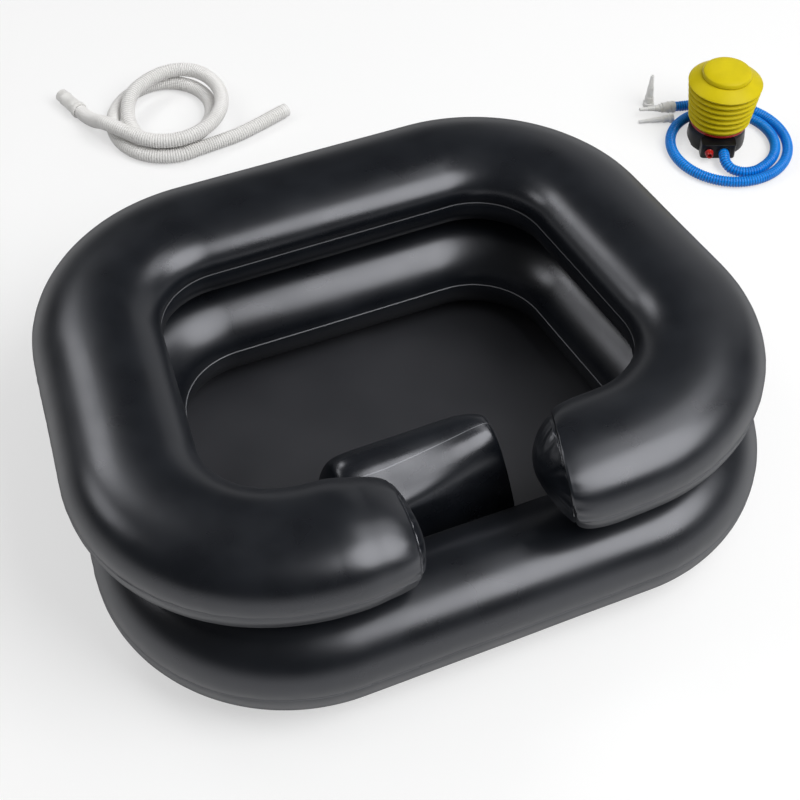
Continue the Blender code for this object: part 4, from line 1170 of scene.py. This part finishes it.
def drain_coil():
    """Two turns and a little: the top layer shrinks and drops inside the bottom one, which leaves outside."""
    low = CUFF_RADIUS
    high = low + DRAIN_HOSE_RADIUS * 2 + COIL_LAYER_GAP
    points = []
    first, shrink, drop, landed, spread, widest, leave = (math.radians(turn) for turn in COIL_TURNS)
    for step in range(COIL_POINTS):
        angle = first + (leave - first) * step / (COIL_POINTS - 1)
        radius = COIL_TOP + (COIL_INNER - COIL_TOP) * eased((angle - shrink) / (drop - shrink))
        radius += (COIL_OUTER - COIL_INNER) * eased((angle - spread) / (widest - spread))
        height = high + (low - high) * eased((angle - drop) / (landed - drop))
        points.append((radius * math.cos(angle), radius * math.sin(angle) * COIL_DEPTH_STRETCH, height))
    return points


def pump_loop():
    """Nearly one and a half turns of the pump's hose, spiralling out round the base."""
    points = []
    first, last = (math.radians(turn) for turn in LOOP_TURNS)
    for step in range(LOOP_POINTS):
        angle = first + (last - first) * step / (LOOP_POINTS - 1)
        radius = LOOP_START + LOOP_GROWTH * angle / math.tau
        points.append((
            LOOP_CENTRE_X + radius * math.cos(angle),
            LOOP_CENTRE_Y + radius * math.sin(angle),
            PUMP_HOSE_RADIUS + SEAT_GAP,
        ))
    return points


def drain_hose(hose_white, cuff_white):
    where = Matrix.Translation(DRAIN_COIL) @ Matrix.Rotation(SCREEN_TURN, 4, "Z")
    points = [CUFF_END] + TAIL_IN + drain_coil() + TAIL_OUT
    hose, route, length = ribbed_hose(
        "ribbed_drain_hose", points, where, DRAIN_HOSE_RADIUS, DRAIN_HOSE_BORE, DRAIN_RIB_DEPTH,
        DRAIN_RIB_PITCH, 22, hose_white, WHITE_GROOVE_SHADE, "hose", "drain_hose",
    )
    start, back = hose_end(points, DRAIN_HOSE_RINGS, where, 0, 1)
    at = facing(start, back)
    cuff = lathe(
        spigot(CUFF_SPIGOT_BORE, CUFF_SPIGOT_RADIUS, CUFF_SPIGOT, CUFF_RADIUS)
        + shares(CUFF_RADIUS, 0, CUFF_LENGTH, [
            (1, 0.30), (0.965, 0.32), (0.965, 0.68), (1, 0.70), (1, 0.74), (0.94, 0.77), (0.92, 1),
        ])
        + shares(CUFF_BORE, 0, CUFF_LENGTH, [(1, 1), (1, 0.2)])
        + [(CUFF_SPIGOT_BORE, CUFF_LENGTH * 0.08)],
        soft=0.0003,
    )
    cuff = piece("hose_cuff", moved(cuff, at), cuff_white, "cuff", "drain_hose_cuff")
    inner = DRAIN_HOSE_RADIUS - DRAIN_RIB_DEPTH / 2 + SEAT_GAP
    collar = lathe(
        [(inner, -COLLAR_LENGTH)]
        + shares(COLLAR_RADIUS, 0, -COLLAR_LENGTH, [(0.95, 1), (1, 0.8), (1, 0.2), (0.95, 0)])
        + [(inner, 0)],
        soft=0.0002,
    )
    collar = piece("hose_collar", moved(collar, at), cuff_white, "hose", "drain_hose_collar")
    tuple(start)
    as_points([tuple(p) for p in route[::12]] + [tuple(route[-1])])


def nozzle(name, length, radius, foot, material, at, body, node):
    """A hollow stepped cone with a collar; foot is its spigot's length."""
    seat = CONNECTOR_BORE - SEAT_GAP
    collar = length * 0.12
    back = [(NOZZLE_BORE, -foot), (seat, -foot), (seat, 0)] if foot else [(NOZZLE_BORE, 0)]
    cone = lathe(
        back + [(radius, 0), (radius, collar), (radius * 0.82, collar * 1.12)]
        + shares(radius, 0, length, [(0.80, 0.30), (0.66, 0.33), (0.56, 0.62), (0.48, 0.64)])
        + [(NOZZLE_TIP_RADIUS, length), (NOZZLE_BORE, length)],
        48, soft=0.00018,
    )
    return piece(name, moved(cone, at), material, body, node)


def pump_hose(stand, blue, white):
    start = (PORT_HOSE_X, BLOCK_FRONT + BASE_WALL, PORT_HEIGHT)
    level = (PORT_HOSE_X, BLOCK_FRONT - PUMP_HOSE_RADIUS, PORT_HEIGHT)
    points = [start, level] + PUMP_HOSE_OUT + pump_loop()[1:] + PUMP_HOSE_END
    hose, route, length = ribbed_hose(
        "ribbed_pump_hose", points, stand, PUMP_HOSE_RADIUS, PUMP_HOSE_BORE, PUMP_RIB_DEPTH,
        PUMP_RIB_PITCH, 20, blue, BLUE_GROOVE_SHADE, "pump", "pump_hose",
    )
    end, ahead = hose_end(points, PUMP_HOSE_RINGS, stand, -1, -2)
    connector = lathe(
        spigot(CONNECTOR_SPIGOT_BORE, CONNECTOR_SPIGOT_RADIUS, CONNECTOR_SPIGOT, CONNECTOR_RADIUS)
        + shares(CONNECTOR_RADIUS, 0, CONNECTOR_LENGTH, [
            (1, 0.18), (0.94, 0.22), (0.94, 0.46), (1, 0.50), (0.86, 0.62), (0.84, 1),
        ])
        + shares(CONNECTOR_BORE, 0, CONNECTOR_LENGTH, [(1, 1), (1, 0.3)])
        + [(CONNECTOR_SPIGOT_BORE, CONNECTOR_LENGTH * 0.2)],
        56, soft=0.0002,
    )
    connector = piece("hose_connector", moved(connector, facing(end, ahead)), white, "pump", "pump_hose_connector")
    seat = facing(end + ahead * (CONNECTOR_LENGTH + SEAT_GAP), ahead)
    small = nozzle(
        "small_nozzle_cone", NOZZLE_SMALL_LENGTH, NOZZLE_SMALL_RADIUS, NOZZLE_SPIGOT, white, seat,
        "small_nozzle", "nozzle_small",
    )
    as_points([tuple(p) for p in route[::12]] + [tuple(route[-1])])
    taper = math.atan2(NOZZLE_MEDIUM_RADIUS - NOZZLE_TIP_RADIUS, NOZZLE_MEDIUM_LENGTH)
    lying = Matrix.Translation((*NOZZLE_MEDIUM_PLACE, NOZZLE_MEDIUM_RADIUS + SEAT_GAP))
    lying = lying @ Matrix.Rotation(NOZZLE_MEDIUM_TURN, 4, "Z") @ Matrix.Rotation(-math.pi / 2 - taper, 4, "Y")
    nozzle(
        "medium_nozzle_cone", NOZZLE_MEDIUM_LENGTH, NOZZLE_MEDIUM_RADIUS, 0, white, stand @ lying,
        "medium_nozzle", "nozzle_medium",
    )
    nozzle(
        "large_nozzle_cone", NOZZLE_LARGE_LENGTH, NOZZLE_LARGE_RADIUS, 0, white,
        stand @ Matrix.Translation((*NOZZLE_LARGE_PLACE, 0)), "large_nozzle", "nozzle_large",
    )


# The foot pump

def pump_base(stand, black, red):
    """The base with its port block, feet and slots, the plate on it and the intake port."""
    inside = BASE_TOP_RADIUS - BASE_WALL
    base = lathe(
        [(0, 0), (BASE_RADIUS, 0), (BASE_RADIUS, BASE_HEIGHT * 0.25)]
        + shares(BASE_TOP_RADIUS, 0, BASE_HEIGHT, [(1.01, 0.75), (1.01, 0.82), (1, 0.84), (1, 1)])
        + [(inside, BASE_HEIGHT), (inside, BASE_FLOOR_LEVEL), (0, BASE_FLOOR_LEVEL)],
        96, soft=0.0006,
    )
    body = block((BLOCK_LEFT, BLOCK_FRONT, BLOCK_BOTTOM), (BLOCK_RIGHT, BLOCK_BACK, BLOCK_TOP))
    upright = [edge for edge in body.edges if abs(edge.verts[0].co.z - edge.verts[1].co.z) > BLOCK_BOTTOM]
    bmesh.ops.bevel(body, geom=upright, offset=BASE_WALL, segments=8, profile=0.5, affect="EDGES", material=-1)
    soften(body, 0.0008)
    tools = [(body, "UNION")]
    reach = BLOCK_FRONT - BLOCK_BACK - BASE_WALL * 2
    for x, bore in ((PORT_LEFT_X, INTAKE_SPIGOT_RADIUS), (PORT_HOSE_X, PUMP_HOSE_RADIUS)):
        place = Matrix.Translation((x, BLOCK_FRONT, PORT_HEIGHT)) @ FACING_FRONT
        tools.append((moved(rod(bore * BOSS_SHARE, reach, BOSS_RIM, soft=0.0003), place), "UNION"))
        tools.append((moved(rod(bore + SEAT_GAP, reach, BASE_WALL), place), "DIFFERENCE"))
    half = BASE_RADIUS * FOOT_ARCH
    low = Matrix.Diagonal((FOOT_NOTCH / half, 1, 1, 1))
    for turn in (0, math.pi / 2, math.pi):
        swing = Matrix.Rotation(turn, 4, "Z") @ Matrix.Rotation(math.pi / 2, 4, "Y")
        tools.append((moved(rod(half, BASE_RADIUS * 0.6, BASE_RADIUS * 1.2), swing @ low), "DIFFERENCE"))
    for angle in SLOT_ANGLES:
        slot = block(
            (BASE_RADIUS * 0.965, -SLOT_HALF_WIDTH, BASE_HEIGHT * 0.3),
            (BASE_RADIUS * 1.2, SLOT_HALF_WIDTH, BASE_HEIGHT * 0.72),
        )
        tools.append((moved(slot, Matrix.Rotation(math.radians(angle), 4, "Z")), "DIFFERENCE"))
    piece("pump_foot", moved(carved(base, *tools), stand), black, "pump", "pump_base")
    plate = lathe(
        shares(PLATE_RADIUS, 0, PLATE_THICKNESS, [(0, 0), (1, 0), (1, 0.8), (0.99, 1), (0, 1)]), 96, soft=0.0003
    )
    reach = PLATE_THICKNESS * 2
    holes = [
        (moved(rod(PLATE_HOLE_RADIUS, -reach, reach, 40), Matrix.Translation((x, PLATE_HOLE_Y, 0))), "DIFFERENCE")
        for x in (INLET_HOLE_X, OUTLET_HOLE_X)
    ]
    at = stand @ Matrix.Translation((0, 0, PLATE_BOTTOM))
    piece("valve_plate", moved(carved(plate, *holes), at), red, "pump", "pump_valve_plate")
    intake = lathe(
        spigot(INTAKE_BORE, INTAKE_SPIGOT_RADIUS, INTAKE_SPIGOT, INTAKE_RADIUS)
        + shares(INTAKE_RADIUS, 0, INTAKE_LENGTH, [(1, 0.22), (0.9, 0.28), (0.9, 0.7), (0.75, 1)])
        + shares(INTAKE_BORE, 0, INTAKE_LENGTH, [(1, 1), (0.8, 0.5)]),
        48, soft=0.0003,
    )
    at = stand @ Matrix.Translation((PORT_LEFT_X, BLOCK_FRONT, PORT_HEIGHT)) @ FACING_FRONT
    piece("intake_port", moved(intake, at), red, "pump", "pump_intake_port")


def bellows_outline(wall):
    """The bellows' side from its foot to its top edge, wall metres inside the outer one."""
    points = [(BELLOWS_FOOT_RADIUS - wall, BELLOWS_BOTTOM)]
    for fold in range(BELLOWS_FOLDS):
        share = fold / (BELLOWS_FOLDS - 1)
        crest = BELLOWS_LOW_CREST + (BELLOWS_HIGH_CREST - BELLOWS_LOW_CREST) * share
        base = BELLOWS_BOTTOM + BELLOWS_FOLD_PITCH * fold
        for step in range(1, FOLD_STEPS + 1):
            phase = step / FOLD_STEPS
            if fold == BELLOWS_FOLDS - 1 and phase ** BELLOWS_SKEW > 0.5:
                continue
            lobe = math.sin(math.pi * phase ** BELLOWS_SKEW) ** BELLOWS_ROUNDNESS if phase < 1 else 0
            foot = BELLOWS_FOOT_RADIUS if fold == 0 and phase < 0.5 else crest - BELLOWS_FOLD_DEPTH
            points.append((foot + (crest - foot) * lobe - wall, base + BELLOWS_FOLD_PITCH * phase))
    radius, height = points[-1]
    rise = BELLOWS_TOP - wall - height
    for step in range(1, SHOULDER_STEPS + 1):
        share = step / SHOULDER_STEPS
        points.append((
            radius + (TREAD_RADIUS - wall - radius) * share,
            height + rise * (SHOULDER_STRAIGHT * share + SHOULDER_ROUND * share ** SHOULDER_POWER),
        ))
    return points


def pump_bellows(stand, yellow):
    """The bellows, and the tread on them."""
    outer = bellows_outline(0)
    inner = bellows_outline(BELLOWS_WALL)
    profile = outer + [(0, BELLOWS_TOP), (0, BELLOWS_TOP - BELLOWS_WALL)] + inner[::-1]
    made = piece("bellows", moved(lathe(profile, 120), stand), yellow, "pump", "pump_bellows", crease=50)
    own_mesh(made)
    tread = lathe(
        [(0, SEAT_GAP), (TREAD_RADIUS * 0.985, SEAT_GAP)]
        + shares(TREAD_RADIUS, 0, TREAD_HEIGHT, [
            (1, 0.12), (1, 0.42), (0.965, 0.70), (0.87, 0.88), (0.66, 0.97), (0.35, 1), (0, 1),
        ]),
        120, soft=0.0004,
    )
    at = stand @ Matrix.Translation((0, 0, BELLOWS_TOP))
    piece("tread_dome", moved(tread, at), yellow, "tread", "pump_tread", crease=60)


# Light and surroundings

def seen_directly(tree):
    """1 for camera, glossy and transmission rays, which see the pale surroundings; 0 for the light itself."""
    rays = add(tree, "ShaderNodeLightPath").outputs
    seen = rays["Is Camera Ray"]
    for name in ("Is Glossy Ray", "Is Transmission Ray"):
        seen = maths(tree, "MAXIMUM", seen, rays[name])
    return seen


def floor():
    bm = bmesh.new()
    bmesh.ops.create_grid(bm, x_segments=1, y_segments=1, size=FLOOR_REACH)
    made = as_object("floor", bm)
    material = bpy.data.materials.new("pale_floor")
    material.use_nodes = True
    tree = material.node_tree
    set_shader(
        material, Base_Color=(*[FLOOR_TONE] * 3, 1), Roughness=0.9, Emission_Color=(1, 1, 1, 1),
        Emission_Strength=maths(tree, "MULTIPLY", seen_directly(tree), FLOOR_GLOW),
    )
    made.data.materials.append(material)


def soft_lamp(name, azimuth, elevation, size, radiance):
    """A soft box facing the basin from a direction in degrees; its radiance sets how bright it looks."""
    lamp = bpy.data.lights.new(name, "AREA")
    lamp.shape = "ELLIPSE"
    lamp.size, lamp.size_y = size
    lamp.energy = radiance * math.pi * size[0] * size[1] * math.pi / 4
    made = bpy.data.objects.new(name, lamp)
    bpy.context.scene.collection.objects.link(made)
    away = Matrix.Rotation(math.radians(azimuth), 3, "Z") @ Matrix.Rotation(math.radians(-elevation), 3, "Y")
    place = LAMP_TARGET + away @ Vector((LAMP_DISTANCE, 0, 0))
    made.location = place
    made.rotation_euler = (LAMP_TARGET - place).to_track_quat("-Z", "Y").to_euler()


def studio():
    """Pale surroundings for the camera and the gloss, dimmer overhead, so that the gloss keeps its darks."""
    world = bpy.data.worlds.new("studio")
    bpy.context.scene.world = world
    world.use_nodes = True
    tree = world.node_tree
    back = tree.nodes["Background"].inputs
    place = add(tree, "ShaderNodeTexCoord").outputs["Generated"]
    ceiling = add(
        tree, "ShaderNodeMapRange", interpolation_type="SMOOTHSTEP",
        Value=add(tree, "ShaderNodeSeparateXYZ", Vector=place).outputs["Z"],
        From_Min=CEILING_FROM, From_Max=CEILING_TO, To_Min=HORIZON, To_Max=CEILING,
    )
    strength = add(
        tree, "ShaderNodeMix", Factor=seen_directly(tree), A=AMBIENT, B=ceiling.outputs["Result"]
    )
    put(tree, back["Strength"], strength.outputs["Result"])
    put(tree, back["Color"], (1, 1, 1, 1))
    for lamp in LAMPS:
        soft_lamp(*lamp)
    bpy.context.scene.view_settings.view_transform = "Standard"


def main():
    camera()
    look = {name: finish_of(name, **finish) for name, finish in FINISHES.items()}
    film, panel, pillow = (look[name] for name in ("black_film", "panel_film", "pillow_skin"))
    # The light lines along the weld seams are painted highlights
    painted_seam_highlights(film, [(0, 0.010, OUTER_SEAM_HIGHLIGHT), (1, 0.010, OUTER_SEAM_HIGHLIGHT), (0.5, 0.011, INNER_SEAM_HIGHLIGHT)])
    painted_seam_highlights(pillow, [(PILLOW_SEAM_ROW, 0.0035, PILLOW_SEAM_HIGHLIGHT)])
    for shiny in (film, panel, pillow):
        duller_rims(shiny)
    vinyl, rubber = look["clear_vinyl"], look["black_rubber"]
    stand = Matrix.Translation(PUMP) @ Matrix.Rotation(SCREEN_TURN, 4, "Z")
    drain_hose(look["hose_white"], look["cuff_white"])
    pump_hose(stand, look["hose_blue"], look["nozzle_white"])
    lower_chamber(film)
    upper_chamber(film)
    end_panel("left_end_panel", -1, LEFT_END, panel, "upper_left_end_cap")
    end_panel("right_end_panel", 1, RIGHT_END, panel, "upper_right_end_cap")
    floor_film(look["floor_sheet_film"])
    neck_pillow(pillow)
    for kind, place in (("upper", UPPER_VALVE), ("lower", LOWER_VALVE), ("pillow", PILLOW_VALVE)):
        air_valve(kind + "_valve", kind + "_plug", place, vinyl)
    drain_fitting(vinyl, rubber)
    pump_base(stand, look["pump_black"], look["pump_red"])
    pump_bellows(stand, look["bellows_yellow"])
    for name in FLAPS:
        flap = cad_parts[name]
        flap.data.materials.clear()
        flap.data.materials.append(rubber)
    floor()
    studio()


main()
